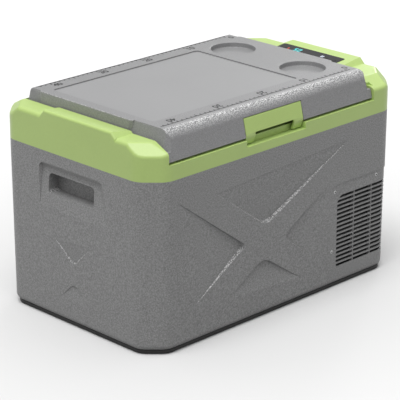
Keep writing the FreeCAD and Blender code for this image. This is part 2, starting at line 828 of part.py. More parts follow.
def control_pocket():
    """The seat that the control panel drops into, and the way through for its keys."""
    half_x = panel_width / 2
    half_y = panel_length / 2
    seat = rounded_box(-half_x - panel_clear, half_x + panel_clear,
                       -half_y - panel_clear, half_y + panel_clear,
                       -panel_thickness + panel_seat_proud, REACH,
                       panel_corner_radius + panel_clear)
    room = box(-half_x + panel_ledge, half_x - panel_ledge, -half_y + panel_ledge,
               half_y - panel_ledge, -panel_room_depth, 0)
    return tilted(seat.fuse(room))


def control_panel():
    """The black gloss panel, with four holes for its keys and a window for the digits."""
    z0 = -panel_thickness + panel_seat_proud
    plate = rounded_box(-panel_width / 2, panel_width / 2, -panel_length / 2, panel_length / 2,
                        z0, panel_seat_proud, panel_corner_radius)
    holes = [cylinder(key_radius + key_gap, REACH, (0, y, -REACH / 2)) for y in key_places()]
    return tilted(plate.cut(holes))


def key_places():
    """Key centres along the panel: two at each side of the digits."""
    outer = panel_length / 2 - key_from_panel_end
    return [-outer, -outer + key_pitch, outer - key_pitch, outer]


def key_foot_top():
    """Height of the keys' feet, just under the panel."""
    return -panel_thickness + panel_seat_proud - key_foot_clear


def key(place):
    """One key: a round cap on a wider foot that stops it under the panel."""
    foot_top = key_foot_top()
    cap = cylinder(key_radius, panel_seat_proud + key_proud - foot_top, (0, place, foot_top))
    foot = cylinder(key_radius + key_foot_reach, key_foot_thickness,
                    (0, place, foot_top - key_foot_thickness))
    return tilted(joined([cap, foot]))


def control_board():
    """The board under the panel that the keys press on."""
    top = key_foot_top() - key_foot_thickness - key_travel - key_board_gap
    half_x = panel_width / 2 - control_board_inset
    half_y = panel_length / 2 - control_board_inset
    board = box(-half_x, half_x, -half_y, half_y, top - control_board_thickness, top)
    spacer = box(-board_spacer_width / 2, board_spacer_width / 2,
                 -board_spacer_length / 2, board_spacer_length / 2, top, key_foot_top())
    return tilted(board.fuse(spacer).removeSplitter())


# ---------------------------------------------------------------- hinges
def hinge_xs():
    return [hinge_centre_x - hinge_spacing / 2, hinge_centre_x + hinge_spacing / 2]


def hinge_span():
    """Half the width that one whole hinge takes along X."""
    return hinge_leaf_width / 2 + hinge_side_gap + hinge_ear_width


def hinge_pockets():
    """The cut-outs in the bezel's back rim that the hinges sit in."""
    half = hinge_span() + hinge_side_gap
    cuts = []
    for x in hinge_xs():
        cuts.append(box(x - half, x + half, lid_back_y - 1, HALF_DEPTH - bezel_wall,
                        deck_z + hinge_foot_above_deck, lid_top_z + REACH))
    return cuts


def hinge_brackets():
    """The two fixed ears of each hinge, on a foot in the bezel's back rim."""
    base_z = deck_z + hinge_foot_above_deck
    made = []
    for x in hinge_xs():
        half = hinge_span()
        foot = box(x - half, x + half, WELL_BACK_Y + hinge_foot_gap,
                   HALF_DEPTH - bezel_wall - hinge_foot_gap, base_z,
                   base_z + hinge_foot_thickness)
        solids = [foot]
        for side in (-1, 1):
            x0 = x + side * (hinge_leaf_width / 2 + hinge_side_gap)
            x1 = x0 + side * hinge_ear_width
            low, high = min(x0, x1), max(x0, x1)
            solids.append(box(low, high, hinge_y - hinge_barrel_radius,
                              hinge_y + hinge_barrel_radius, base_z, hinge_z))
            solids.append(cylinder(hinge_barrel_radius, high - low, (low, hinge_y, hinge_z), X_AXIS))
        bracket = joined(solids)
        bore = cylinder(hinge_pin_radius, 2 * half + 2, (x - half - 1, hinge_y, hinge_z), X_AXIS)
        made.append(bracket.cut(bore))
    return Part.makeCompound(made)


def hinge_pins():
    """The two steel pins, held in the fixed ears."""
    half = hinge_span()
    return Part.makeCompound([cylinder(hinge_pin_radius, 2 * half, (x - half, hinge_y, hinge_z), X_AXIS)
                              for x in hinge_xs()])


def hinge_leaves():
    """The lid's half of each hinge: a barrel on an arm that is fixed to the lid's back."""
    made = []
    half = hinge_leaf_width / 2
    for x in hinge_xs():
        barrel = cylinder(hinge_barrel_radius, hinge_leaf_width, (x - half, hinge_y, hinge_z), X_AXIS)
        arm = box(x - half, x + half, lid_back_y, hinge_y, hinge_z - hinge_leaf_thickness / 2,
                  hinge_z + hinge_barrel_radius)
        plate = box(x - half, x + half, lid_back_y, lid_back_y + hinge_plate_thickness,
                    hinge_z - hinge_plate_reach,
                    hinge_z + hinge_barrel_radius + hinge_plate_reach)
        leaf = joined([barrel, arm, plate])
        bore = cylinder(hinge_pin_radius + hinge_running_gap, hinge_leaf_width + 2,
                        (x - half - 1, hinge_y, hinge_z), X_AXIS)
        made.append(leaf.cut(bore))
    return Part.makeCompound(made)


# ---------------------------------------------------------------- lid
def lid_profile(inset):
    """The lid's section across its depth, drawn in by inset, as points and radii."""
    lean = lid_front_lean / (lid_top_z - lid_underside_z)
    top = lid_top_z - inset
    front = lid_front_y + inset
    low = lid_underside_z
    points = [(0, front, low), (0, lid_back_y - inset, low), (0, lid_back_y - inset, top),
              (0, front + lean * (top - low), top)]
    return points, [0, 0, lid_back_radius - inset, lid_front_radius - inset]


def lid_form(inset):
    """The lid's outer form: its section along X, with its ends leaning in."""
    points, radii = lid_profile(inset)
    x0 = lid_left_x + inset
    length = lid_right_x - lid_left_x - 2 * inset
    bar = prism([(x0, y, z) for x, y, z in points], V(length, 0, 0), radii)

    def lean_cut(side, lean, y0, y1):
        """What lies outside the leaning end, between y0 and y1."""
        edge = lid_right_x - inset if side > 0 else lid_left_x + inset
        low = (edge, y0, lid_shoulder_z)
        high = (edge - side * lean, y0, lid_top_z)
        out = edge + side * REACH
        return prism([low, high, (out, y0, lid_top_z + 1), (out, y0, lid_shoulder_z)],
                     V(0, y1 - y0, 0))

    def middle_keep(side):
        """The middle of the end, which stands a little prouder than its corners."""
        edge = lid_right_x - inset if side > 0 else lid_left_x + inset
        bulge = lid_end_lean - lid_middle_lean
        ramp = 2 * bulge
        inner = edge - side * 3 * lid_end_lean
        points_top = [(inner, lid_middle_front_y - ramp, lid_shoulder_z),
                      (edge - side * bulge, lid_middle_front_y - ramp, lid_shoulder_z),
                      (edge, lid_middle_front_y, lid_shoulder_z),
                      (edge, lid_middle_back_y, lid_shoulder_z),
                      (edge - side * bulge, lid_middle_back_y + ramp, lid_shoulder_z),
                      (inner, lid_middle_back_y + ramp, lid_shoulder_z)]
        return prism(points_top, V(0, 0, lid_top_z - lid_shoulder_z + 1))

    corners = bar
    for side in (-1, 1):
        corners = corners.cut(lean_cut(side, lid_end_lean, -HALF_DEPTH - REACH, HALF_DEPTH + REACH))
    middle = bar
    for side in (-1, 1):
        middle = middle.cut(lean_cut(side, lid_middle_lean, -HALF_DEPTH - REACH, HALF_DEPTH + REACH))
    pads = [middle.common(middle_keep(side)) for side in (-1, 1)]
    form = corners.fuse(pads).removeSplitter()
    return form.cut([corner_cut(side, inset) for side in (-1, 1)])


def corner_cut(side, inset):
    """The chamfer of the lid's front corner above its skirt: side is -1 left, 1 right."""
    edge = lid_right_x - inset if side > 0 else lid_left_x + inset
    lean = lid_front_lean / (lid_top_z - lid_underside_z)
    rise = lid_top_z - lid_shoulder_z
    front = lid_front_y + inset + lean * lid_skirt
    out = edge + side * REACH
    run = REACH + lid_corner_chamfer
    low = [(edge - side * lid_corner_chamfer, front, lid_shoulder_z),
           (edge + side * REACH, front + run, lid_shoulder_z),
           (out, front - REACH, lid_shoulder_z),
           (edge - side * lid_corner_chamfer, front - REACH, lid_shoulder_z)]
    shift_x = -side * lid_end_lean * 0.5
    shift_y = lean * rise
    high = [(x + shift_x, y + shift_y, lid_top_z + 1) for x, y, z in low]
    faces = [(0, 1, 2, 3), (4, 5, 6, 7), (0, 1, 5, 4), (1, 2, 6, 5), (2, 3, 7, 6), (3, 0, 4, 7)]
    return convex_solid(low + high, faces)


def cup_wells(grow):
    """The two shallow round wells in the lid, grown by grow."""
    made = []
    for y in (cup_back_y, cup_front_y):
        well = cylinder(cup_radius + grow, cup_depth + REACH, (cup_x, y, lid_top_z - cup_depth - grow))
        rim = [edge for edge in well.Edges
               if abs(edge.BoundBox.ZMax - (lid_top_z - cup_depth - grow)) < 0.01]
        made.append(well.makeFillet(cup_corner_radius, rim))
    return made


def latch_pocket(grow):
    """The pocket in the lid's front that holds the latch, grown by grow."""
    half = latch_width / 2 + latch_gap + grow
    lean = lid_front_lean / (lid_top_z - lid_underside_z)
    top = latch_top_z + latch_gap + grow
    back = lid_front_y + latch_pocket_depth + grow
    shallow = lid_front_y + lean * (top - lid_underside_z) + 2 * latch_barrel_radius + 1 + grow
    x0 = latch_centre_x - half
    points = [(x0, lid_front_y - REACH, lid_underside_z - 1), (x0, back, lid_underside_z - 1),
              (x0, max(back, shallow), top - 2 * latch_barrel_radius - 2),
              (x0, max(back, shallow), top), (x0, lid_front_y - REACH, top)]
    return prism(points, V(2 * half, 0, 0))


def lid_cover():
    """The grey lid cover with its cup wells, its sunk tray and the latch's pocket."""
    outer = lid_form(0.0)
    tray = rounded_box(tray_left_x, tray_right_x, tray_front_y, tray_back_y,
                       lid_top_z - tray_depth, lid_top_z + 5, tray_corner_radius)
    inner = lid_form(lid_wall + tray_depth)
    inner = inner.cut(cup_wells(lid_wall) + [latch_pocket(lid_wall)])
    cover = outer.cut([tray, inner, latch_pocket(0.0)] + cup_wells(0.0))
    pins = latch_pin_hole(latch_pin_radius)
    cover = cover.cut(pins)
    return cover, inner


def lid_plug_box(grow, z0, z1):
    return rounded_box(cavity_left_x + plug_gap - grow, shelf_right_x - plug_gap + grow,
                       -cavity_half_depth + plug_gap - grow, cavity_half_depth - plug_gap + grow,
                       z0, z1, cavity_corner_radius)


def lid_liner():
    """The white inner panel: a flat rim under the lid and a shallow tub that dips down."""
    thickness = lid_liner_wall
    margin = lid_wall + tray_depth + lid_liner_clear
    half = latch_width / 2 + latch_gap + lid_wall + lid_liner_clear
    lean = lid_front_lean / (lid_top_z - lid_underside_z)
    rim = box(lid_left_x + margin, lid_right_x - margin, lid_front_y + margin + lean * thickness,
              lid_back_y - margin, lid_underside_z, lid_underside_z + thickness)
    rim = rim.cut(box(latch_centre_x - half, latch_centre_x + half, lid_front_y - 1,
                      lid_front_y + latch_pocket_depth + lid_wall + lid_liner_clear,
                      lid_underside_z - 1, lid_underside_z + REACH))
    plug = lid_plug_box(0.0, lid_underside_z - plug_depth, lid_underside_z + thickness)
    room = lid_plug_box(-thickness, lid_underside_z - plug_depth + thickness, lid_underside_z + REACH)
    return rim.fuse(plug).cut(room).removeSplitter()


def lid_foam(inner, liner):
    """The lid's foam core, between the cover and the inner panel."""
    core = inner.cut(box(-HALF_LENGTH, HALF_LENGTH, -HALF_DEPTH, HALF_DEPTH,
                         lid_underside_z - 1, lid_underside_z + lid_liner_wall))
    filling = lid_plug_box(-lid_liner_wall, lid_underside_z - plug_depth + lid_liner_wall,
                           lid_underside_z + lid_liner_wall)
    return core.fuse(filling).cut(liner).removeSplitter()


def lid_gasket():
    """The soft seal under the lid, just clear of the bezel's deck."""
    def ring(grow):
        return rounded_box(cavity_left_x - grow, shelf_right_x + grow,
                           -cavity_half_depth - grow, cavity_half_depth + grow,
                           deck_z + gasket_clear, lid_underside_z,
                           cavity_corner_radius + grow)
    return ring(gasket_from_tub + gasket_width).cut(ring(gasket_from_tub))


# ---------------------------------------------------------------- latch
def latch_pivot():
    """The latch's hinge axis, behind its top edge."""
    lean = lid_front_lean / (lid_top_z - lid_underside_z)
    z = latch_top_z - latch_barrel_radius - latch_barrel_skin
    y = lid_front_y + lean * (z - lid_underside_z) + latch_barrel_radius + latch_barrel_skin
    return V(latch_centre_x, y, z)


def latch_pin_hole(radius):
    pivot = latch_pivot()
    half = latch_width / 2 + latch_gap + lid_wall
    return cylinder(radius, 2 * half, (pivot.x - half, pivot.y, pivot.z), X_AXIS)


def latch():
    """The green latch: a leaning plate with a finger slot, two curled legs and a top barrel."""
    lean = lid_front_lean / (lid_top_z - lid_underside_z)
    x0 = latch_centre_x - latch_width / 2
    y_curl = lid_front_y + lean * (latch_curl_z - lid_underside_z)
    y_low = y_curl + latch_curl_in
    y_high = lid_front_y + lean * (latch_top_z - lid_underside_z)
    points = [(x0, y_low, latch_bottom_z), (x0, y_low + latch_thickness, latch_bottom_z),
              (x0, y_curl + latch_thickness, latch_curl_z),
              (x0, y_high + latch_thickness, latch_top_z), (x0, y_high, latch_top_z),
              (x0, y_curl, latch_curl_z)]
    plate = prism(points, V(latch_width, 0, 0),
                  [1.2, 1.2, latch_curl_radius - latch_thickness, 0, 1.0, latch_curl_radius])
    half = latch_slot_width / 2
    flare = latch_slot_flare
    slot = prism([(latch_centre_x - half - flare, -HALF_DEPTH - REACH, latch_bottom_z - 5),
                  (latch_centre_x + half + flare, -HALF_DEPTH - REACH, latch_bottom_z - 5),
                  (latch_centre_x + half, -HALF_DEPTH - REACH, latch_slot_top_z),
                  (latch_centre_x - half, -HALF_DEPTH - REACH, latch_slot_top_z)],
                 V(0, 2 * REACH, 0), [0, 0, latch_slot_radius, latch_slot_radius])
    pivot = latch_pivot()
    barrel = cylinder(latch_barrel_radius, latch_width, (x0, pivot.y, pivot.z), X_AXIS)
    whole = joined([plate.cut(slot), barrel])
    return whole.cut(latch_pin_hole(latch_pin_radius + hinge_running_gap))


# ---------------------------------------------------------------- machine cover and its bay
def machine_cover():
    """The U-shaped cover round the machine bay, with louvres at its two corners."""
    outer = body_form(cover_inset, shell_z, split_z, foot_radius - cover_inset)
    inner = body_form(cover_inset + cover_wall, shell_z - 1, split_z, 0.0)
    panel = bay_form(-seam_gap)
    cover = outer.cut(inner).common(panel)
    slots = louvre_slots()
    cover = cover.cut(slots + [mirrored_y(slot) for slot in slots])
    ribs = louvre_ribs()
    cover = cover.fuse(ribs + [mirrored_y(rib) for rib in ribs])
    cover = cover.cut(cover_holes() + [socket_hole()])
    return cover.removeSplitter()


def louvre_zone():
    """The front corner's louvre field, as one block with two rounded corners."""
    y0 = -HALF_DEPTH - REACH
    x1 = HALF_LENGTH + REACH
    points = [(louvre_left_x, y0, louvre_bottom_z), (x1, y0, louvre_bottom_z),
              (x1, y0, louvre_top_z), (louvre_left_x, y0, louvre_top_z)]
    return prism(points, V(0, louvre_end_y - y0, 0),
                 [louvre_foot_radius, 0, 0, louvre_top_radius])


def louvre_slots():
    """The slots of one corner: level bars of air, evenly spaced over the field."""
    zone = louvre_zone()
    pitch = (louvre_top_z - louvre_bottom_z) / louvre_count
    slots = []
    for number in range(louvre_count):
        z0 = louvre_bottom_z + number * pitch + (pitch - louvre_slot_height) / 2
        bar = box(bay_left_x, HALF_LENGTH + REACH, -HALF_DEPTH - REACH, louvre_end_y,
                  z0, z0 + louvre_slot_height)
        slots.append(bar.common(zone))
    return slots


def louvre_ribs():
    """Upright ribs behind the slats, which tie them together."""
    face = -HALF_DEPTH + cover_inset + cover_wall
    ribs = []
    for x in louvre_rib_xs:
        ribs.append(box(x, x + louvre_rib_width, face - seam_gap, face + louvre_rib_depth,
                        louvre_bottom_z - louvre_rib_margin, louvre_top_z + louvre_rib_margin))
    return ribs


def cover_screws():
    """Countersunk-washer screws: three in the front of the cover and three in its back."""
    made = []
    for x, z in cover_screw_places:
        y = front_face_y(z) + cover_inset
        start = (x, y - screw_head_proud, z)
        head = cylinder(screw_head_radius, screw_head_height, start, Y_AXIS)
        shank = cylinder(screw_shank_radius, screw_shank_length, start, Y_AXIS)
        screw = head.fuse(shank).removeSplitter()
        made += [screw, mirrored_y(screw)]
    return Part.makeCompound(made)


def cover_holes():
    """The seats of those screws in the cover."""
    cuts = []
    for x, z in cover_screw_places:
        y = front_face_y(z) + cover_inset
        seat = cylinder(screw_head_radius + screw_head_clear, screw_head_height + REACH,
                        (x, y - screw_head_proud - REACH, z), Y_AXIS)
        hole = cylinder(screw_shank_radius + screw_shank_clear, REACH, (x, y - 1, z), Y_AXIS)
        seat = seat.fuse(hole)
        cuts += [seat, mirrored_y(seat)]
    return cuts


def socket_hole():
    """The cover's opening for the power inlet."""
    x0 = HALF_LENGTH - REACH / 2
    y0 = socket_y - socket_width / 2
    z0 = socket_z - socket_height / 2
    points = [(x0, y0, z0), (x0, y0 + socket_width, z0), (x0, y0 + socket_width, z0 + socket_height),
              (x0, y0, z0 + socket_height)]
    return prism(points, V(REACH, 0, 0), socket_corner_radius)


def power_inlet():
    """The low-voltage inlet: a cup set into the cover."""
    x1 = HALF_LENGTH - cover_inset - socket_sunk
    y0 = socket_y - socket_width / 2
    y1 = y0 + socket_width
    z0 = socket_z - socket_height / 2
    z1 = z0 + socket_height

    def block(grow, back, front):
        points = [(back, y0 - grow, z0 - grow), (back, y1 + grow, z0 - grow),
                  (back, y1 + grow, z1 + grow), (back, y0 - grow, z1 + grow)]
        return prism(points, V(front - back, 0, 0), socket_corner_radius + grow)

    cup = block(-socket_clear, x1 - socket_depth - socket_wall, x1)
    return cup.cut(block(-socket_clear - socket_wall, x1 - socket_depth, x1 + 1))


def inlet_pins():
    """The inlet's two contact pins."""
    x0 = HALF_LENGTH - cover_inset - socket_sunk - socket_depth
    pins = [cylinder(inlet_pin_radius, socket_depth - inlet_pin_short,
                     (x0, socket_y + side * inlet_pin_spacing / 2, socket_z), X_AXIS)
            for side in (-1, 1)]
    return Part.makeCompound(pins)


def compressor_body():
    """The hermetic compressor can, its crown rounded, standing on its plate."""
    base_z = shell_z + grommet_height + compressor_plate_thickness
    can = cylinder(compressor_radius, compressor_height, (compressor_x, compressor_y, base_z))
    crown = [edge for edge in can.Edges
             if abs(edge.BoundBox.ZMin - (base_z + compressor_height)) < 0.01]
    can = can.makeFillet(compressor_crown_radius, crown)
    seam = cylinder(compressor_radius + compressor_seam_reach, compressor_seam_height,
                    (compressor_x, compressor_y,
                     base_z + compressor_height * compressor_seam_share))
    return can.fuse(seam).removeSplitter()


def grommet_places():
    """The compressor's four mounting points."""
    half_x = compressor_plate_length / 2 - grommet_inset
    half_y = compressor_plate_width / 2 - grommet_inset
    return [(compressor_x + sx * half_x, compressor_y + sy * half_y)
            for sx in (-1, 1) for sy in (-1, 1)]


def compressor_plate():
    """The pressed steel foot plate under the compressor."""
    z0 = shell_z + grommet_height
    plate = rounded_box(compressor_x - compressor_plate_length / 2,
                        compressor_x + compressor_plate_length / 2,
                        compressor_y - compressor_plate_width / 2,
                        compressor_y + compressor_plate_width / 2,
                        z0, z0 + compressor_plate_thickness, compressor_plate_corner)
    return plate.cut([cylinder(bolt_radius, REACH, (x, y, z0 - REACH / 2))
                      for x, y in grommet_places()])


def compressor_grommets():
    """Four rubber buffers between the plinth and the foot plate."""
    return Part.makeCompound([cylinder(grommet_radius, grommet_height, (x, y, shell_z))
                              for x, y in grommet_places()])


def compressor_bolts():
    """The four bolts through the foot plate into the buffers."""
    made = []
    z0 = shell_z + grommet_height
    for x, y in grommet_places():
        shank = cylinder(bolt_radius, compressor_plate_thickness, (x, y, z0))
        head = cylinder(bolt_head_radius, bolt_head_height,
                        (x, y, z0 + compressor_plate_thickness))
        made.append(shank.fuse(head).removeSplitter())
    return Part.makeCompound(made)


def condenser_row_zs():
    step = condenser_height / condenser_rows
    return [condenser_bottom_z + step * (row + 0.5) for row in range(condenser_rows)]


def swept_pipe(points, radius, bend):
    """A round pipe along straight runs joined by arcs of radius bend."""
    corners = [V(*point) for point in points]
    edges = []
    start = corners[0]
    for index in range(1, len(corners) - 1):
        corner = corners[index]
        back = (corners[index - 1] - corner).normalize()
        on = (corners[index + 1] - corner).normalize()
        half_turn = (math.pi - back.getAngle(on)) / 2
        reach = bend * math.tan(half_turn)
        inward = (back + on).normalize()
        middle = corner + inward * (bend / math.cos(half_turn) - bend)
        enter = corner + back * reach
        leave = corner + on * reach
        if start.distanceToPoint(enter) > 1e-6:
            edges.append(Part.LineSegment(start, enter).toShape())
        edges.append(Part.Arc(enter, middle, leave).toShape())
        start = leave
    edges.append(Part.LineSegment(start, corners[-1]).toShape())
    path = Part.Wire(edges)
    first = (corners[1] - corners[0]).normalize()
    ring = Part.Wire(Part.makeCircle(radius, corners[0], first))
    pipe = path.makePipeShell([ring], True, True)
    return pipe


def condenser_coil():
    """The condenser's serpentine tube."""
    y = condenser_front_y + condenser_depth / 2
    rows = condenser_row_zs()
    bend = (rows[1] - rows[0]) / 2 - 0.01
    left = condenser_left_x - condenser_overhang
    right = condenser_right_x + condenser_overhang
    points = []
    for number, z in enumerate(rows):
        ends = (left, right) if number % 2 == 0 else (right, left)
        points += [(ends[0], y, z), (ends[1], y, z)]
    points[0] = (left + bend, y, rows[0])
    points[-1] = (right - bend, y, rows[-1])
    return swept_pipe(points, condenser_tube_radius, bend)


def condenser_fin_stack(coil):
    """Thin upright fins that the tube runs through."""
    step = (condenser_right_x - condenser_left_x) / condenser_fins
    fins = []
    for number in range(condenser_fins):
        x = condenser_left_x + step * (number + 0.5)
        fin = box(x, x + condenser_fin_thickness, condenser_front_y,
                  condenser_front_y + condenser_depth, condenser_bottom_z,
                  condenser_bottom_z + condenser_height)
        fins.append(fin.cut(coil))
    return Part.makeCompound(fins)


def condenser_stand():
    """The two end plates that carry the condenser on the plinth."""
    made = []
    offset = condenser_plate_gap + condenser_plate_thickness
    for x in (condenser_left_x - offset, condenser_right_x + condenser_plate_gap):
        plate = box(x, x + condenser_plate_thickness, condenser_front_y,
                    condenser_front_y + condenser_depth,
                    shell_z, condenser_bottom_z + condenser_height)
        y = condenser_front_y + condenser_depth / 2
        holes = [cylinder(condenser_tube_radius, REACH, (x - REACH / 2, y, z), X_AXIS)
                 for z in condenser_row_zs()]
        made.append(plate.cut(holes))
    return Part.makeCompound(made)


def fan_frame():
    """The square fan housing, with a round duct and a three-armed motor mount."""
    half = fan_frame_width / 2
    y0 = fan_front_y
    points = [(fan_x - half, y0, fan_z - half), (fan_x + half, y0, fan_z - half),
              (fan_x + half, y0, fan_z + half), (fan_x - half, y0, fan_z + half)]
    frame = prism(points, V(0, fan_frame_depth, 0), fan_frame_corner)
    duct = cylinder(fan_radius + fan_tip_gap, fan_frame_depth + 2, (fan_x, y0 - 1, fan_z), Y_AXIS)
    frame = frame.cut(duct)
    spider_y = y0 + fan_frame_depth - fan_arm_thickness
    arms = [cylinder(fan_hub_radius, fan_arm_thickness, (fan_x, spider_y, fan_z), Y_AXIS)]
    for number in range(3):
        arm = box(fan_x - fan_arm_width / 2, fan_x + fan_arm_width / 2, spider_y,
                  spider_y + fan_arm_thickness, fan_z, fan_z + fan_radius + fan_tip_gap + 1)
        arm.rotate(V(fan_x, 0, fan_z), Y_AXIS, 120 * number + 60)
        arms.append(arm)
    foot = box(fan_x - half + fan_frame_corner, fan_x + half - fan_frame_corner,
               y0 + fan_arm_thickness, y0 + fan_frame_depth - fan_arm_thickness,
               shell_z, fan_z - half + 1)
    axle = cylinder(fan_axle_radius, fan_frame_depth - 2 * fan_axle_gap,
                    (fan_x, y0 + fan_axle_gap, fan_z), Y_AXIS)
    return joined([frame, foot, axle] + arms)


def fan_rotor():
    """The fan's hub and blades, running on the housing's axle."""
    y0 = fan_front_y + fan_rotor_gap
    depth = fan_frame_depth - fan_rotor_short
    hub = cylinder(fan_hub_radius, depth, (fan_x, y0, fan_z), Y_AXIS)
    solids = [hub]
    for number in range(fan_blades):
        half = depth * fan_blade_share / 2
        blade = box(-half, half, -fan_blade_thickness / 2, fan_blade_thickness / 2,
                    fan_hub_radius - fan_blade_thickness, fan_radius)
        blade.rotate(V(0, 0, 0), Z_AXIS, fan_blade_pitch)
        blade.translate(V(fan_x, y0 + depth / 2, fan_z))
        blade.rotate(V(fan_x, 0, fan_z), Y_AXIS, 360.0 * number / fan_blades)
        solids.append(blade)
    rotor = joined(solids)
    keep = cylinder(fan_radius, depth, (fan_x, y0, fan_z), Y_AXIS)
    bore = cylinder(fan_axle_radius + hinge_running_gap, depth + 2, (fan_x, y0 - 1, fan_z), Y_AXIS)
    return rotor.common(keep).cut(bore)


def discharge_pipe():
    """Hot gas line: from the compressor's top to the head of the condenser."""
    start_z = compressor_top_z()
    rows = condenser_row_zs()
    high = start_z + discharge_rise
    near_x = compressor_x + discharge_offset_x
    near_y = compressor_y - discharge_offset_y
    end_y = condenser_front_y + condenser_depth / 2
    x = condenser_right_x + condenser_overhang - (rows[1] - rows[0]) / 2
    out = x + discharge_out
    points = [(near_x, near_y, start_z),
              (near_x, near_y, high),
              (out, near_y, high),
              (out, end_y, high),
              (out, end_y, rows[-1]),
              (x, end_y, rows[-1])]
    return swept_pipe(points, condenser_tube_radius, discharge_bend)


def suction_pipe():
    """Cold return line: from the evaporator's wall to the compressor."""
    y = compressor_y + pipe_from_axis
    x = compressor_x - suction_offset
    points = [(pipe_wall_x(), y, suction_z), (x, y, suction_z), (x, y, compressor_top_z())]
    return swept_pipe(points, pipe_radius, suction_bend)


def suction_hole():
    """The way of that line through the bulkhead and the foam."""
    y = compressor_y + pipe_from_axis
    return cylinder(pipe_radius + hinge_running_gap, bay_left_x + 2 - pipe_wall_x(),
                    (pipe_wall_x(), y, suction_z), X_AXIS)


def pipe_wall_x():
    """The cold plate's outer face on the machine side."""
    return cavity_right_x + liner_wall + evaporator_thickness


def compressor_top_z():
    return shell_z + grommet_height + compressor_plate_thickness + compressor_height


def power_board():
    """The drive board in the bay, on four stand-offs from the bulkhead."""
    x0 = bay_left_x + power_board_from_bulkhead
    x1 = x0 + power_board_thickness
    y1 = HALF_DEPTH - power_board_from_back
    y0 = y1 - power_board_length
    z0 = shell_z + power_board_from_foot
    z1 = z0 + power_board_height
    parts = [box(x0, x1, y0, y1, z0, z1)]
    for y in (y0 + power_post_inset, y1 - power_post_inset):
        for z in (z0 + power_post_inset, z1 - power_post_inset):
            parts.append(cylinder(power_post_radius, power_board_from_bulkhead,
                                  (bay_left_x, y, z), X_AXIS))
    middle = y0 + power_board_length * 0.57
    parts.append(box(x1, x1 + power_cooler_depth, y0 + 8, middle, z0 + 20, z1 - 20))
    for z in (z0 + 30, z0 + 50):
        parts.append(cylinder(power_can_radius, power_can_height,
                              (x1, (middle + y1) / 2 + 2, z), X_AXIS))
    return joined(parts)


# ---------------------------------------------------------------- base
def base_plinth():
    """The black base tray, with seats for the rubber feet."""
    plate = Part.Face(plan_wire(plinth_inset, shell_z)).extrude(V(0, 0, plinth_bottom_z - shell_z))
    return plate.cut([cylinder(rubber_foot_radius, rubber_foot_height, (x, y, 0))
                      for x, y in foot_places()])


def foot_places():
    return [(sx * (HALF_LENGTH - rubber_foot_inset), sy * (HALF_DEPTH - rubber_foot_inset))
            for sx in (-1, 1) for sy in (-1, 1)]


def rubber_feet():
    """Four round rubber feet, let into the plinth."""
    return Part.makeCompound([cylinder(rubber_foot_radius, rubber_foot_height, (x, y, 0))
                              for x, y in foot_places()])


def divider_panel():
    """The lift-out divider that stands across the deep hollow."""
    x = cavity_left_x + divider_from_left
    half = cavity_half_depth - divider_clear
    panel = box(x, x + divider_thickness, -half, half, cavity_floor_z, shelf_floor_z)
    slots = []
    for row in range(divider_slot_rows):
        for column in range(divider_slot_columns):
            y0 = -cavity_half_depth + divider_slot_from_side + column * divider_slot_pitch_y
            y1 = y0 + divider_slot_length
            z0 = cavity_floor_z + divider_slot_from_floor + row * divider_slot_pitch_z
            z1 = z0 + divider_slot_height
            outline = [(x - 1, y0, z0), (x - 1, y1, z0), (x - 1, y1, z1), (x - 1, y0, z1)]
            slots.append(prism(outline, V(divider_thickness + 2, 0, 0), divider_slot_radius))
    return panel.cut(slots)


def interior_lamp():
    """The small lamp lens on the liner's end wall."""
    x0 = shelf_right_x - lamp_depth
    z0 = shelf_floor_z + lamp_above_shelf
    lens = box(x0, shelf_right_x, -lamp_length / 2, lamp_length / 2, z0, z0 + lamp_height)
    edges = [edge for edge in lens.Edges if abs(edge.BoundBox.XMin - x0) < 0.01
             and edge.BoundBox.XLength < 0.01]
    return lens.makeFillet(lamp_edge_radius, edges)


def temperature_sensor():
    """The sensor pill clipped to the liner's wall."""
    z0 = cavity_floor_z + sensor_above_floor
    return box(cavity_left_x, cavity_left_x + sensor_depth, -sensor_length / 2,
               sensor_length / 2, z0, z0 + sensor_height)


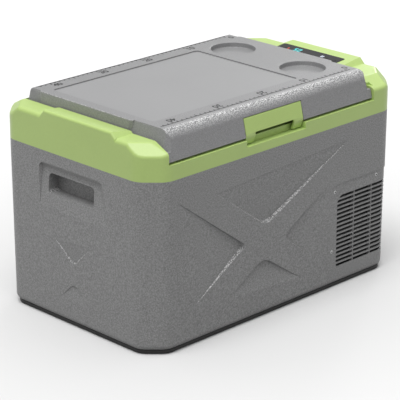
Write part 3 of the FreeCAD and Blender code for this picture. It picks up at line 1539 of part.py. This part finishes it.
# ---------------------------------------------------------------- writing
def main():
    shell, room = shell_and_room()
    flange_z = deck_z - deck_thickness
    liner = inner_liner(flange_z)
    evaporator = evaporator_plate()
    grip_outer = grip_block(grip_wall)
    grip_inner = grip_block(0.0)
    grips = []
    for turned in (False, True):
        outer = mirrored_x(grip_outer) if turned else grip_outer
        inner = mirrored_x(grip_inner) if turned else grip_inner
        hole = mirrored_x(grip_hole()) if turned else grip_hole()
        grips.append(outer.common(room).cut([inner, hole]))
    upper = box(WELL_LEFT_X + 6, WELL_RIGHT_X - 8, -HALF_DEPTH + latch_notch_depth + bezel_wall + 3,
                WELL_BACK_Y - 4, split_z, flange_z - liner_wall)
    foam = room.fuse(upper).cut([grip_outer, mirrored_x(grip_outer), evaporator, suction_hole(),
                                 cavity_forms(liner_wall, flange_z + 1)])
    foam = foam.cut(liner).removeSplitter()
    cover, lid_room = lid_cover()
    inner_panel = lid_liner()
    coil = condenser_coil()
    parts = {
        "outer_shell": shell.removeSplitter(),
        "insulation_foam": foam,
        "inner_liner": liner,
        "evaporator_plate": evaporator,
        "grip_cup_left": grips[0],
        "grip_cup_right": grips[1],
        "bezel_frame": bezel_frame(),
        "base_plinth": base_plinth(),
        "rubber_feet": rubber_feet(),
        "machine_cover": machine_cover(),
        "cover_screws": cover_screws(),
        "power_inlet": power_inlet(),
        "inlet_pins": inlet_pins(),
        "compressor": compressor_body(),
        "compressor_plate": compressor_plate(),
        "compressor_grommets": compressor_grommets(),
        "compressor_bolts": compressor_bolts(),
        "condenser_coil": coil,
        "condenser_fins": condenser_fin_stack(coil),
        "condenser_stand": condenser_stand(),
        "fan_frame": fan_frame(),
        "fan_rotor": fan_rotor(),
        "discharge_pipe": discharge_pipe(),
        "suction_pipe": suction_pipe(),
        "power_board": power_board(),
        "control_panel": control_panel(),
        "control_board": control_board(),
        "hinge_brackets": hinge_brackets(),
        "hinge_pins": hinge_pins(),
        "hinge_leaves": hinge_leaves(),
        "lid_cover": cover,
        "lid_liner": inner_panel,
        "lid_foam": lid_foam(lid_room, inner_panel),
        "lid_gasket": lid_gasket(),
        "latch_plate": latch(),
        "latch_pin": latch_pin_hole(latch_pin_radius),
        "divider_panel": divider_panel(),
        "interior_lamp": interior_lamp(),
        "temperature_sensor": temperature_sensor(),
    }
    names = ["key_power", "key_set", "key_down", "key_up"]
    for name, place in zip(names, key_places()):
        parts[name] = key(place)
    os.makedirs("parts", exist_ok=True)
    for name, shape in parts.items():
        shape.exportStep("parts/%s.step" % name)
        print(name, len(shape.Solids), shape.isValid(), round(shape.Volume / 1000, 2))


main()
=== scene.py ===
# %% [markdown]
# # A portable compressor cooler
# The cooler is a chest with a hinged lid. Its solids come ready made and in place, so this
# lesson dresses them: it eases the edges that a moulding tool leaves soft, prints the ruler on
# the lid, lights the control panel and gives every surface the finish of its real plastic.

# %% Load the solids
import json
import math

import bmesh
import bpy
from mathutils import Matrix, Vector


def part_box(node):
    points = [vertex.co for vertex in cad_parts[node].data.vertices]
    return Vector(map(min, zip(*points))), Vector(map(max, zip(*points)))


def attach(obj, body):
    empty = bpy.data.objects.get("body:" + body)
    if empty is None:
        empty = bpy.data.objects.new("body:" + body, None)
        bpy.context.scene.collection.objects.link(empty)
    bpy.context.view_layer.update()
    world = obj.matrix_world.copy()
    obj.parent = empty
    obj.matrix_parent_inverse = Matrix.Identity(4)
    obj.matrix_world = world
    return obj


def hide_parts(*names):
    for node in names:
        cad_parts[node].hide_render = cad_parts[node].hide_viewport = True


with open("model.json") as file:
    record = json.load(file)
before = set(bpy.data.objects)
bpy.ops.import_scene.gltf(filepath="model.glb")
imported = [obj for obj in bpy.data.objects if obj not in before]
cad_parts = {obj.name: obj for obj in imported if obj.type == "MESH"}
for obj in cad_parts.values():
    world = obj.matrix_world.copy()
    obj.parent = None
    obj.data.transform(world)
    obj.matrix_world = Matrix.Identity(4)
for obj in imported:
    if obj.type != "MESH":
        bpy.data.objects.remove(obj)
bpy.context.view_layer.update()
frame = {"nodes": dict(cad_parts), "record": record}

MM = 0.001
nodes = frame["nodes"]


# %% [markdown]
# ## Colours and nodes
# Hex colours are what a paint chart gives, and they are in sRGB. Cycles works in linear light,
# so one function turns them round. One more function adds a shader node with its settings and
# its links, which keeps each material down to the few lines that say what it is.

# %% Colour and node helpers
def linear(hex_code):
    """A colour such as "9B9B9B" as linear red, green, blue and alpha."""
    parts = [int(hex_code[k:k + 2], 16) / 255 for k in (0, 2, 4)]
    turned = [c / 12.92 if c <= 0.04045 else ((c + 0.055) / 1.055) ** 2.4 for c in parts]
    return tuple(turned) + (1.0,)


def add(material, kind, **inputs):
    """Adds a node of this kind. A socket's value may be another node's output."""
    tree = material.node_tree
    node = tree.nodes.new("ShaderNode" + kind)
    for name, value in inputs.items():
        if hasattr(node, name):
            setattr(node, name, value)
            continue
        key = int(name[1:]) if name[0] == "_" else name.replace("_", " ")
        if isinstance(value, bpy.types.NodeSocket):
            tree.links.new(value, node.inputs[key])
        else:
            node.inputs[key].default_value = value
    return node


def new_material(name):
    """An empty material with its surface shader and the Object coordinates to paint by."""
    material = bpy.data.materials.new(name)
    material.use_nodes = True
    shader = material.node_tree.nodes["Principled BSDF"]
    place = add(material, "TexCoord").outputs["Object"]
    return material, shader, place


print("grey plastic in linear light:", [round(c, 3) for c in linear("9B9B9B")[:3]])


# %% [markdown]
# ## Moulded plastic
# A mould for a cooler's shell is spark-eroded, and the plastic copies its fine pitted skin. A
# skin with 0.4 mm pits is too fine for a small render, so the grain is drawn about 2 mm
# wide. The pits change the slope of the surface and hold a little shade, so the same noise
# drives the colour and the bump. A second, wide noise gives the slight clouding of a large
# moulding. Where the outer sides roll or step upwards, light is painted into the grain: its tips
# are painted pale as glints and its pits dark as shade, and the face's own direction says where.

# %% Moulded plastic finishes
lid_low, lid_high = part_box("lid_cover")
LID_CENTRE_X = (lid_low[0] + lid_high[0]) / 2
PAINTED_GLINT_END = 222 * MM      # painted glints and pit shade reach the ends beyond this from the lid's centre
PAINTED_GLINT_SIDE = 150 * MM     # and the front and back beyond this
PAINTED_GLINT_FADE = 6 * MM       # and they come in over this much
PAINTED_GLINT_WIDTH = 1.7 * MM           # width of a painted glint
CLOUD = 90 * MM            # width of the clouding of a large moulding
CLOUD_SHADE = 0.03


def moulded_plastic(name, hex_code, grain_mm, shade, bump_mm, roughness, painted_glints=None):
    """Plastic from a textured mould: shade is how much darker a pit is than the face."""
    material, shader, place = new_material(name)
    grain = add(material, "TexNoise", Vector=place, Scale=1 / (grain_mm * MM), Detail=2.0,
                Roughness=0.6).outputs["Fac"]
    clouds = add(material, "TexNoise", Vector=place, Scale=1 / CLOUD, Detail=2.0).outputs["Fac"]
    face = linear(hex_code)
    pit = tuple(c * (1 - shade) for c in face[:3]) + (1.0,)
    grain_ramp = add(material, "MapRange", Value=grain, From_Min=0.3, From_Max=0.7)
    mixed = add(material, "Mix", data_type="RGBA", _0=grain_ramp.outputs[0], _6=pit, _7=face)
    dim = add(material, "MapRange", Value=clouds, From_Min=0.3, From_Max=0.7,
              To_Min=1 - CLOUD_SHADE, To_Max=1.0)
    tinted = add(material, "Mix", data_type="RGBA", blend_type="MULTIPLY", _0=1.0,
                 _6=mixed.outputs[2], _7=dim.outputs[0])
    colour = tinted.outputs[2]
    # painted glints on the grain's tips and painted shade in its pits, at the upturned outer edges
    if painted_glints:
        coarse = add(material, "TexNoise", Vector=place, Scale=1 / PAINTED_GLINT_WIDTH,
                     Detail=0.0).outputs["Fac"]
        colour = paint_glints_and_pit_shade(material, colour, coarse, *painted_glints)
    bump = add(material, "Bump", Height=grain, Distance=bump_mm * MM, Strength=1.0)
    tree = material.node_tree
    tree.links.new(colour, shader.inputs["Base Color"])
    tree.links.new(bump.outputs[0], shader.inputs["Normal"])
    shader.inputs["Roughness"].default_value = roughness
    shader.inputs["IOR"].default_value = 1.5
    return material


def paint_glints_and_pit_shade(material, colour, grain, glint_share, pit_shade_share, shares):
    """Painted glints on the grain's tips and painted shade in its pits, where the outer sides roll
    or step upwards.

    shares pairs how far a face looks up, from 0 to 1, with how much of this it shows.
    """
    # the painted light follows how far a face looks up
    facing = add(material, "NewGeometry").outputs["True Normal"]
    upward = add(material, "SeparateXYZ", Vector=facing).outputs["Z"]
    rolled = add(material, "ValToRGB", Fac=upward)
    stops = rolled.color_ramp.elements
    stops[1].position, stops[1].color = 0.995, (0, 0, 0, 1)
    for position, share in shares:
        stops.new(position).color = (share, share, share, 1)
    place = add(material, "SeparateXYZ", Vector=add(material, "TexCoord").outputs["Object"])
    along = add(material, "Math", operation="SUBTRACT", _0=place.outputs["X"], _1=LID_CENTRE_X)
    along = add(material, "Math", operation="ABSOLUTE", _0=along.outputs[0])
    across = add(material, "Math", operation="ABSOLUTE", _0=place.outputs["Y"])
    ends = add(material, "MapRange", Value=along.outputs[0], From_Min=PAINTED_GLINT_END,
               From_Max=PAINTED_GLINT_END + PAINTED_GLINT_FADE)
    sides = add(material, "MapRange", Value=across.outputs[0], From_Min=PAINTED_GLINT_SIDE,
                From_Max=PAINTED_GLINT_SIDE + PAINTED_GLINT_FADE)
    outside = add(material, "Math", operation="MAXIMUM", _0=ends.outputs[0],
                  _1=sides.outputs[0])
    where = add(material, "Math", operation="MULTIPLY", _0=rolled.outputs[0],
                _1=outside.outputs[0]).outputs[0]
    # the first pass paints shade into the pits, the second paints glints on the tips
    for none, full, share, tone in ((0.53, 0.46, pit_shade_share, 0.04), (0.50, 0.57, glint_share, 0.95)):
        chosen = add(material, "MapRange", Value=grain, From_Min=none, From_Max=full,
                     To_Max=share)
        cover = add(material, "Math", operation="MULTIPLY", _0=where, _1=chosen.outputs[0])
        colour = add(material, "Mix", data_type="RGBA", _0=cover.outputs[0], _6=colour,
                     _7=(tone, tone, tone, 1)).outputs[2]
    return colour


finishes = {}
# the shell and the lid get painted glints and painted pit shade at their outer edges
finishes["grey_shell"] = moulded_plastic("spark_eroded_abs_grey", "9D9D9D", 2.2, 0.48, 0.16, 0.5,
                                         painted_glints=(0.3, 0.55, ((0.22, 0), (0.45, 0.8), (0.8, 1))))
finishes["grey_lid"] = moulded_plastic("coarse_textured_abs_grey", "979798", 1.5, 0.34, 0.25, 0.4,
                                       painted_glints=(0.66, 0.3, ((0.25, 0), (0.68, 0.35), (0.94, 1))))
smooth_tray = moulded_plastic("polished_abs_grey", "959596", 4.0, 0.03, 0.01, 0.4)
finishes["green_bezel"] = moulded_plastic("satin_abs_green", "B6CF7C", 3.0, 0.03, 0.02, 0.36)
finishes["black_plastic"] = moulded_plastic("spark_eroded_pp_black", "1B1B1B", 2.0, 0.2, 0.1, 0.5)
finishes["black_rubber"] = moulded_plastic("moulded_rubber_black", "161616", 1.5, 0.3, 0.1, 0.75)
finishes["foam"] = moulded_plastic("rigid_polyurethane_foam", "DDCFA6", 1.2, 0.25, 0.4, 0.9)
finishes["white_liner"] = moulded_plastic("vacuum_formed_hips_white", "E6E8EA", 6.0, 0.02, 0.03,
                                          0.32)
finishes["lamp_lens"] = moulded_plastic("frosted_polycarbonate", "F2F5F7", 1.0, 0.03, 0.02, 0.35)
finishes["board"] = moulded_plastic("solder_masked_board_green", "1E5A33", 2.5, 0.3, 0.02, 0.35)
finishes["panel_gloss"] = moulded_plastic("gloss_acrylic_black", "101011", 4.0, 0.1, 0.002, 0.12)
print(len(finishes), "plastic finishes")


# %% [markdown]
# ## Metals
# The machine bay holds bare metals. Rolled and drawn metal keeps fine lines along the way it
# was worked, so its roughness is streaked by a noise that is stretched along one axis.

# %% Metal finishes
def worked_metal(name, hex_code, roughness, streak_mm, along):
    """Metal with fine lines along one axis: along holds the stretch of each axis."""
    material, shader, place = new_material(name)
    stretched = add(material, "Mapping", Vector=place, Scale=along).outputs[0]
    lines = add(material, "TexNoise", Vector=stretched, Scale=1 / (streak_mm * MM),
                Detail=3.0).outputs["Fac"]
    rough = add(material, "MapRange", Value=lines, From_Min=0.3, From_Max=0.7,
                To_Min=roughness * 0.7, To_Max=roughness * 1.3)
    shade = add(material, "MapRange", Value=lines, From_Min=0.3, From_Max=0.7,
                To_Min=0.85, To_Max=1.0)
    tinted = add(material, "Mix", data_type="RGBA", blend_type="MULTIPLY", _0=1.0,
                 _6=linear(hex_code), _7=shade.outputs[0])
    tree = material.node_tree
    tree.links.new(tinted.outputs[2], shader.inputs["Base Color"])
    tree.links.new(rough.outputs[0], shader.inputs["Roughness"])
    shader.inputs["Metallic"].default_value = 1.0
    return material


finishes["aluminium"] = worked_metal("rolled_aluminium", "DFE0E1", 0.34, 1.5, (1, 1, 0.05))
finishes["copper_tube"] = worked_metal("drawn_copper", "D9976C", 0.28, 1.0, (0.2, 0.2, 1))
finishes["zinc_steel"] = worked_metal("zinc_plated_steel", "C9CBCD", 0.3, 2.0, (1, 1, 1))
finishes["brass_pin"] = worked_metal("turned_brass", "D8B877", 0.25, 0.8, (1, 0.1, 0.1))
finishes["black_enamel"] = moulded_plastic("stoved_enamel_black", "1A1A1C", 5.0, 0.15, 0.04, 0.22)
print(len(finishes), "finishes in all")

# %% Give each solid its finish
slot_of = {part["node"]: part["material_slot"] for part in frame["record"]["subparts"]}
for name, node in nodes.items():
    node.data.materials.clear()
    node.data.materials.append(finishes[slot_of[name]])
print("dressed", len(slot_of), "solids")


# %% [markdown]
# ## Eased edges
# A mould's corners are eased, and light catches them as a soft line. The solids have most of
# their roundings, but their creases are sharp, so the pieces seen up close get a copy whose
# long creases are bevelled. The copy's loose triangles are merged and its flat faces joined
# first, because a bevel needs whole edges to run along.

# %% Copies with eased edges
def eased_copy(node, width_mm, least_angle, least_length_mm=4.0, low_mm=0.0, segments=3):
    """A copy of a solid whose long convex creases above low_mm are bevelled."""
    bm = bmesh.new()
    bm.from_mesh(nodes[node].data)
    bmesh.ops.remove_doubles(bm, verts=bm.verts, dist=1e-5)
    bmesh.ops.dissolve_limit(bm, angle_limit=math.radians(1.0), verts=bm.verts, edges=bm.edges)
    creases = [edge for edge in bm.edges
               if edge.calc_face_angle_signed(0.0) > math.radians(least_angle)
               and edge.calc_length() > least_length_mm * MM
               and min(vert.co.z for vert in edge.verts) > low_mm * MM]
    bmesh.ops.bevel(bm, geom=creases, affect="EDGES", offset=width_mm * MM, segments=segments,
                    profile=0.5, material=-1, clamp_overlap=False)
    mesh = bpy.data.meshes.new(node + "_eased")
    bm.to_mesh(mesh)
    bm.free()
    piece = bpy.data.objects.new(node + "_eased", mesh)
    bpy.context.scene.collection.objects.link(piece)
    mesh.materials.append(finishes[slot_of[node]])
    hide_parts(node)
    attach(piece, body_of[node])
    print(node, "has", len(creases), "creases eased by", width_mm, "mm")
    return piece


body_of = {name: body for body, names in frame["record"]["behaviour"]["bodies"].items()
           for name in names}
lid = eased_copy("lid_cover", 1.2, 24, low_mm=334)
eased_copy("latch_plate", 0.5, 40)

# %% The lid's tray is polished
lid.data.materials.append(smooth_tray)
tray_depth = 1.8 * MM
tray_level = lid_high[2] - tray_depth
tray_faces = [face for face in lid.data.polygons
              if face.normal.z > 0.999 and abs(face.center.z - tray_level) < 0.2 * MM]
for face in tray_faces:
    face.material_index = 1
print("tray faces:", len(tray_faces))


# %% [markdown]
# ## The ruler on the lid
# Fishermen measure their catch on such a lid. A line runs along its front edge and another
# along its back edge, with a mark at each centimetre, a longer one at five and a figure at
# ten. They are pad-printed, so each mark is a film of ink on the plastic. Every mark is one
# face of a grid, moved to its place, and the figures are text that is turned into a mesh.

# %% Ink marks
INK = 0.03 * MM            # the film stands this much above the lid
CAP_TO_SIZE = 1.35         # a font's size over the height of its figures
STROKE_GAIN = 0.5 * MM     # ink spreads the strokes by this much
RULER_ZERO = 190.0         # in mm, as are the ruler's other lengths
RULER_END = -238.0
LINE, SHORT_MARK, LONG_MARK, MARK_WIDTH = 2.0, 5.5, 8.0, 2.2
FIGURE_HEIGHT, FIGURE_AWAY, FIGURE_ASIDE = 12.5, 14.5, 7.0


def flat_bar(bm, x0, x1, y0, y1, z, tilt=None):
    """One upright-facing rectangle added to bm; tilt turns it about the object's origin."""
    place = Matrix.Translation(((x0 + x1) / 2 * MM, (y0 + y1) / 2 * MM, z))
    size = Matrix.Diagonal(((x1 - x0) * MM, (y1 - y0) * MM, 1, 1))
    matrix = place @ size if tilt is None else tilt @ place @ size
    return bmesh.ops.create_grid(bm, x_segments=1, y_segments=1, size=0.5, matrix=matrix)


def finish_piece(bm, name, material, body):
    """Makes bm an object called name, dressed and riding on body."""
    mesh = bpy.data.meshes.new(name)
    bm.to_mesh(mesh)
    bm.free()
    piece = bpy.data.objects.new(name, mesh)
    bpy.context.scene.collection.objects.link(piece)
    mesh.materials.append(material)
    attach(piece, body)
    return piece


def add_text(bm, words, height_mm, x, y, z, turned):
    """Adds words as flat faces centred on x, y; turned says if they read from behind."""
    curve = bpy.data.curves.new("figure", "FONT")
    curve.body = words
    curve.align_x = "CENTER"
    curve.align_y = "CENTER"
    curve.size = height_mm * MM * CAP_TO_SIZE
    curve.resolution_u = 3
    curve.offset = STROKE_GAIN
    holder = bpy.data.objects.new("figure", curve)
    bpy.context.scene.collection.objects.link(holder)
    bpy.context.view_layer.update()
    graph = bpy.context.evaluated_depsgraph_get()
    mesh = bpy.data.meshes.new_from_object(holder.evaluated_get(graph))
    turn = Matrix.Rotation(math.pi if turned else 0, 4, "Z")
    mesh.transform(Matrix.Translation((x * MM, y * MM, z)) @ turn)
    bm.from_mesh(mesh)
    bpy.data.objects.remove(holder)
    bpy.data.curves.remove(curve)
    bpy.data.meshes.remove(mesh)


ink = moulded_plastic("pad_printed_ink_grey", "101011", 1.2, 0.3, 0.01, 0.5)


def ruler(name, edge_y, inwards, turned):
    """A line along the lid with its marks pointing inwards: +1 towards the back."""
    bm = bmesh.new()
    z = lid_high[2] + INK

    def bar(x0, x1, reach):
        flat_bar(bm, x0, x1, *sorted((edge_y, edge_y + inwards * reach)), z)

    bar(RULER_END, RULER_ZERO + 6, LINE)
    for centimetre in range(0, 43):
        x = RULER_ZERO - 10.0 * centimetre
        bar(x - MARK_WIDTH / 2, x + MARK_WIDTH / 2,
            LONG_MARK if centimetre % 5 == 0 else SHORT_MARK)
    for tens in range(0, 5):
        x = RULER_ZERO + FIGURE_ASIDE - 100.0 * tens
        add_text(bm, str(10 * tens), FIGURE_HEIGHT, x, edge_y + inwards * FIGURE_AWAY, z, turned)
    print(name, "has", len(bm.faces), "faces")
    return finish_piece(bm, name, ink, "lid")


ruler("front_ruler", -149.0, 1, True)
ruler("back_ruler", 142.0, -1, False)


# %% [markdown]
# ## The control panel's lights
# Behind the gloss acrylic sit a red and a white lamp, two cyan figures and the marks of the
# keys. They show through windows in its dark print. Each is a small flat shape laid on the
# panel's slope, and it glows a little, as a lamp seen by day does.

# %% Lit legends
def lit_legend(name, hex_code, glow):
    """A window in dark print: a faint dot pattern, lit from behind."""
    material, shader, place = new_material(name)
    dots = add(material, "TexNoise", Vector=place, Scale=1 / (0.8 * MM), Detail=1.0).outputs["Fac"]
    level = add(material, "MapRange", Value=dots, From_Min=0.3, From_Max=0.7, To_Min=0.7,
                To_Max=1.0)
    shade = add(material, "Mix", data_type="RGBA", blend_type="MULTIPLY", _0=1.0,
                _6=linear(hex_code), _7=level.outputs[0])
    tree = material.node_tree
    tree.links.new(shade.outputs[2], shader.inputs["Base Color"])
    tree.links.new(shade.outputs[2], shader.inputs["Emission Color"])
    shader.inputs["Emission Strength"].default_value = glow
    shader.inputs["Roughness"].default_value = 0.2
    return material


legends = {"cyan": lit_legend("lit_window_cyan", "5FE3E6", 0.8),
           "red": lit_legend("lit_window_red", "D8452E", 0.6),
           "white": lit_legend("lit_window_white", "D9E4F2", 0.6)}

# %% Legends on the panel
panel_low, panel_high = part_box("control_panel")
slope_fall, slope_length = 6.0, 70.8            # the end's top falls this much over this length
panel_half_width = 17 * MM
panel_tilt = math.atan2(slope_fall, slope_length)
panel_middle = Vector(((panel_low[0] + panel_high[0]) / 2, (panel_low[1] + panel_high[1]) / 2,
                       panel_high[2] - panel_half_width * math.sin(panel_tilt)))
on_panel = Matrix.Translation(panel_middle) @ Matrix.Rotation(-panel_tilt, 4, "Y")
SEGMENTS = {"0": "abcdef", "5": "acdfg"}


def seven_segment(bm, figure, x, y, height, width, z):
    """One display figure whose top points away from the lid."""
    half = height / 2
    bar = 1.3
    bars = {"a": (half - bar, half, 0, width), "g": (-bar / 2, bar / 2, 0, width),
            "d": (-half, -half + bar, 0, width), "f": (0, half, width - bar, width),
            "b": (0, half, 0, bar), "e": (-half, 0, width - bar, width),
            "c": (-half, 0, 0, bar)}
    for letter in SEGMENTS[figure]:
        x0, x1, y0, y1 = bars[letter]
        flat_bar(bm, x + x0, x + x1, y + y0, y + y1, z, on_panel)


def legend_piece(name, colour, bars):
    """Small flat shapes on the panel: bars holds x, y, length along x and along y in mm."""
    bm = bmesh.new()
    for x, y, along_x, along_y in bars:
        flat_bar(bm, x - along_x / 2, x + along_x / 2, y - along_y / 2, y + along_y / 2, INK,
                 on_panel)
    return finish_piece(bm, name, legends[colour], "cabinet")


figures = bmesh.new()
seven_segment(figures, "0", 3.0, 20.0, 11.0, 6.0, INK)
seven_segment(figures, "5", 3.0, 28.5, 11.0, 6.0, INK)
seven_segment(figures, "5", -7.0, 11.5, 7.0, 4.5, INK)
finish_piece(figures, "display_figures", legends["cyan"], "cabinet")
legend_piece("run_lamp", "red", [(1, 47, 6, 2.2), (1, 42.5, 6, 2.2)])
legend_piece("charge_lamp", "white", [(2, 36, 2.6, 2.6)])
legend_piece("key_marks", "white", [(-4, 3.5, 1.6, 4.5), (-5, -4.5, 4.5, 1.6), (-5, -4.5, 1.6, 4.5),
                                    (3, -28, 7, 1.8), (3, -31.5, 7, 1.8)])
print("legends are on a slope of", round(math.degrees(panel_tilt), 2), "degrees")


# %% [markdown]
# ## Screws
# The machine cover is held by pan-head screws with a deep cross or socket recess. The head's
# pale zinc coat is painted near white as a highlight and the recess black as its shade, which
# looks like a bright ring round a dark hole. A circle is filled, inset and pushed in again and
# again to turn the head's profile, and the copies stand where the plain screws are.

# %% Screw heads
def loose_parts(node):
    """The lowest and highest corners of each separate solid of a node."""
    bm = bmesh.new()
    bm.from_mesh(nodes[node].data)
    bmesh.ops.remove_doubles(bm, verts=bm.verts, dist=1e-6)
    left = set(bm.verts)
    found = []
    while left:
        group, queue = set(), [left.pop()]
        while queue:
            vert = queue.pop()
            group.add(vert)
            near = {edge.other_vert(vert) for edge in vert.link_edges} & left
            left -= near
            queue.extend(near)
        found.append([[pick(vert.co[k] for vert in group) for k in range(3)]
                      for pick in (min, max)])
    bm.free()
    return found


HEAD_RADIUS = 2.6 * MM
HEAD_SUNK = 1.4 * MM       # the head's foot lies this far in from the plain screw's face
HEAD_STEPS = [(0.0, 1.0), (0.35, 0.35), (0.75, 0.05), (0.15, -0.9)]    # inset and push, in mm


def screw_head(bm, x, y, z, outwards):
    """A pan head whose face looks along outwards in Y, over its shank."""
    turn = Matrix.Rotation(math.radians(90 if outwards < 0 else -90), 4, "X")
    disc = bmesh.ops.create_circle(bm, cap_ends=True, segments=24, radius=HEAD_RADIUS,
                                   matrix=Matrix.Translation((x, y, z)) @ turn)
    face = disc["verts"][0].link_faces[0]
    out = Vector((0, outwards, 0))
    if face.normal.dot(out) < 0:
        bmesh.ops.reverse_faces(bm, faces=[face])
    for inset, push in HEAD_STEPS:
        if inset:
            bmesh.ops.inset_region(bm, faces=[face], thickness=inset * MM)
        else:
            grown = bmesh.ops.extrude_discrete_faces(bm, faces=[face])
            face = grown["faces"][0]
        bmesh.ops.translate(bm, verts=face.verts, vec=out * push * MM)
    # the recess floor and walls take black plastic: painted shade in the hole
    face.material_index = 1
    for edge in face.edges:
        for side in edge.link_faces:
            if side is not face:
                side.material_index = 1


# a pale zinc coat, painted near white as a highlight on the rim
zinc_coat_painted_highlight = moulded_plastic("zinc_coated_steel_painted_highlight", "F4F4F4", 1.0, 0.08, 0.02, 0.35)


def cover_screw_heads():
    bm = bmesh.new()
    parts = loose_parts("cover_screws")
    for low, high in parts:
        outwards = -1 if low[1] < 0 else 1
        start = low[1] + HEAD_SUNK if outwards < 0 else high[1] - HEAD_SUNK
        screw_head(bm, (low[0] + high[0]) / 2, start, (low[2] + high[2]) / 2, outwards)
    bmesh.ops.recalc_face_normals(bm, faces=bm.faces)
    piece = finish_piece(bm, "cover_screw_heads", zinc_coat_painted_highlight, "cabinet")
    # the black of the recesses is painted shade
    piece.data.materials.append(finishes["black_plastic"])
    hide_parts("cover_screws")
    print(len(parts), "screw heads")


cover_screw_heads()


# %% [markdown]
# ## Dark screens behind the louvres
# Behind the louvres a dark screen is put as painted shade, so the slots look black from every
# side. It is a thin black strip that follows the cover's corner. A few points give its line in
# plan, and the line is extruded upwards and then given its thickness.

# %% Dark screens as painted shade
# a black sheet put behind the louvres as painted shade
shade_screen_black = moulded_plastic("black_painted_shade_sheet", "131313", 1.4, 0.5, 0.2, 0.7)


SCREEN_BEHIND_FRONT, SCREEN_INSIDE_END, SCREEN_INSIDE_LEFT = 8.3 * MM, 4.0 * MM, 14.5 * MM
SCREEN_CORNER, SCREEN_RETURN = 26.7 * MM, 65 * MM
SCREEN_FOOT_Z, SCREEN_HEIGHT, SCREEN_THICKNESS = 31 * MM, 137 * MM, 0.8 * MM


def shade_screen(name, side):
    """A thin dark upright screen, painted shade, round one corner of the machine bay: side is -1
    front, 1 back.
    """
    cover_low, cover_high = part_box("machine_cover")
    front = (cover_low[1] if side < 0 else cover_high[1]) - side * SCREEN_BEHIND_FRONT
    end = cover_high[0] - SCREEN_INSIDE_END
    left = cover_low[0] + SCREEN_INSIDE_LEFT
    plan = [(left, front), (end - SCREEN_CORNER, front), (end, front - side * SCREEN_CORNER),
            (end, front - side * SCREEN_RETURN)]
    bm = bmesh.new()
    verts = [bm.verts.new((x, y, SCREEN_FOOT_Z)) for x, y in plan]
    line = [bm.edges.new(pair) for pair in zip(verts, verts[1:])]
    raised = bmesh.ops.extrude_edge_only(bm, edges=line)["geom"]
    bmesh.ops.translate(bm, verts=[v for v in raised if isinstance(v, bmesh.types.BMVert)],
                        vec=(0, 0, SCREEN_HEIGHT))
    bmesh.ops.solidify(bm, geom=bm.faces[:], thickness=SCREEN_THICKNESS)
    bmesh.ops.recalc_face_normals(bm, faces=bm.faces)
    finish_piece(bm, name, shade_screen_black, "cabinet")
    print(name, "stands at", [[round(v / MM, 1) for v in p] for p in plan])


shade_screen("front_shade_screen", -1)
shade_screen("back_shade_screen", 1)


# %% [markdown]
# ## Room, light and camera
# A pale floor, a sky that is brighter overhead as in a light tent, one wide soft sun from
# the upper left and a weak one that grazes the tops from the back right. The floor shows pale
# to the camera and a darker grey to the object, so the sides aren't lit from below more than a
# table would light them. Near the object the floor's colour is darker: a painted shadow round it.

# %% Floor
def stage_floor():
    mesh = bpy.data.meshes.new("floor")
    bm = bmesh.new()
    bmesh.ops.create_grid(bm, x_segments=1, y_segments=1, size=12.0)
    bm.to_mesh(mesh)
    bm.free()
    floor = bpy.data.objects.new("floor", mesh)
    bpy.context.scene.collection.objects.link(floor)
    material = bpy.data.materials.new("matt_white_floor")
    material.use_nodes = True
    tree = material.node_tree
    tree.nodes.remove(tree.nodes["Principled BSDF"])
    path = add(material, "LightPath").outputs
    seen = add(material, "Math", operation="MAXIMUM", _0=path["Is Camera Ray"],
               _1=path["Is Glossy Ray"])
    seen = add(material, "Math", operation="MAXIMUM", _0=seen.outputs[0],
               _1=path["Is Transmission Ray"])
    place = add(material, "TexCoord").outputs["Object"]
    # painted shadow: the floor's colour is darker near the object and paler further off
    away = add(material, "VectorMath", operation="LENGTH", _0=place).outputs["Value"]
    pale = add(material, "MapRange", Value=away, From_Min=0.35, From_Max=1.3, To_Min=0.69,
               To_Max=0.80).outputs[0]
    colour = add(material, "Mix", data_type="RGBA", _0=seen.outputs[0],
                 _6=(0.30, 0.30, 0.30, 1), _7=pale)
    surface = add(material, "BsdfDiffuse", Color=colour.outputs[2])
    tree.links.new(surface.outputs[0], tree.nodes["Material Output"].inputs["Surface"])
    mesh.materials.append(material)
    return floor


stage_floor()

# %% Sky and suns
def tent_sky(horizon, overhead):
    """Even light that grows from the horizon to overhead; the camera sees plain white."""
    world = bpy.data.worlds.new("light_tent")
    bpy.context.scene.world = world
    world.use_nodes = True
    path = add(world, "LightPath").outputs
    height = add(world, "SeparateXYZ", Vector=add(world, "TexCoord").outputs["Generated"])
    level = add(world, "MapRange", Value=height.outputs["Z"], To_Min=horizon, To_Max=overhead)
    seen = add(world, "Math", operation="MAXIMUM", _0=path["Is Camera Ray"],
               _1=path["Is Transmission Ray"])
    strength = add(world, "Mix", data_type="FLOAT", _0=seen.outputs[0], _2=level.outputs[0],
                   _3=1.0)
    sky = world.node_tree.nodes["Background"]
    sky.inputs["Color"].default_value = (1, 1, 1, 1)
    world.node_tree.links.new(strength.outputs[0], sky.inputs["Strength"])


tent_sky(0.15, 1.12)


def soft_sun(name, towards, degrees_wide, strength):
    """A sun that stands in the direction of towards."""
    data = bpy.data.lights.new(name, "SUN")
    data.angle = math.radians(degrees_wide)
    data.energy = strength
    sun = bpy.data.objects.new(name, data)
    bpy.context.scene.collection.objects.link(sun)
    sun.rotation_euler = Vector(towards).to_track_quat("Z", "Y").to_euler()
    return sun


soft_sun("upper_left_sun", (-0.30, -0.10, 0.95), 35, 1.85)
soft_sun("back_right_sun", (0.80, 0.50, 0.34), 12, 0.35)
print("sky and suns are in place")

# %% Camera
view_settings = bpy.context.scene.view_settings
view_settings.view_transform = "Standard"
camera_data = bpy.data.cameras.new("camera")
camera_data.sensor_width = 36.0
camera_data.lens = 176.72
camera = bpy.data.objects.new("camera", camera_data)
bpy.context.scene.collection.objects.link(camera)
camera.location = (-2.18287, -2.18995, 1.2883)
camera.rotation_euler = (math.radians(69.70), 0, math.radians(-44.82))
bpy.context.scene.camera = camera
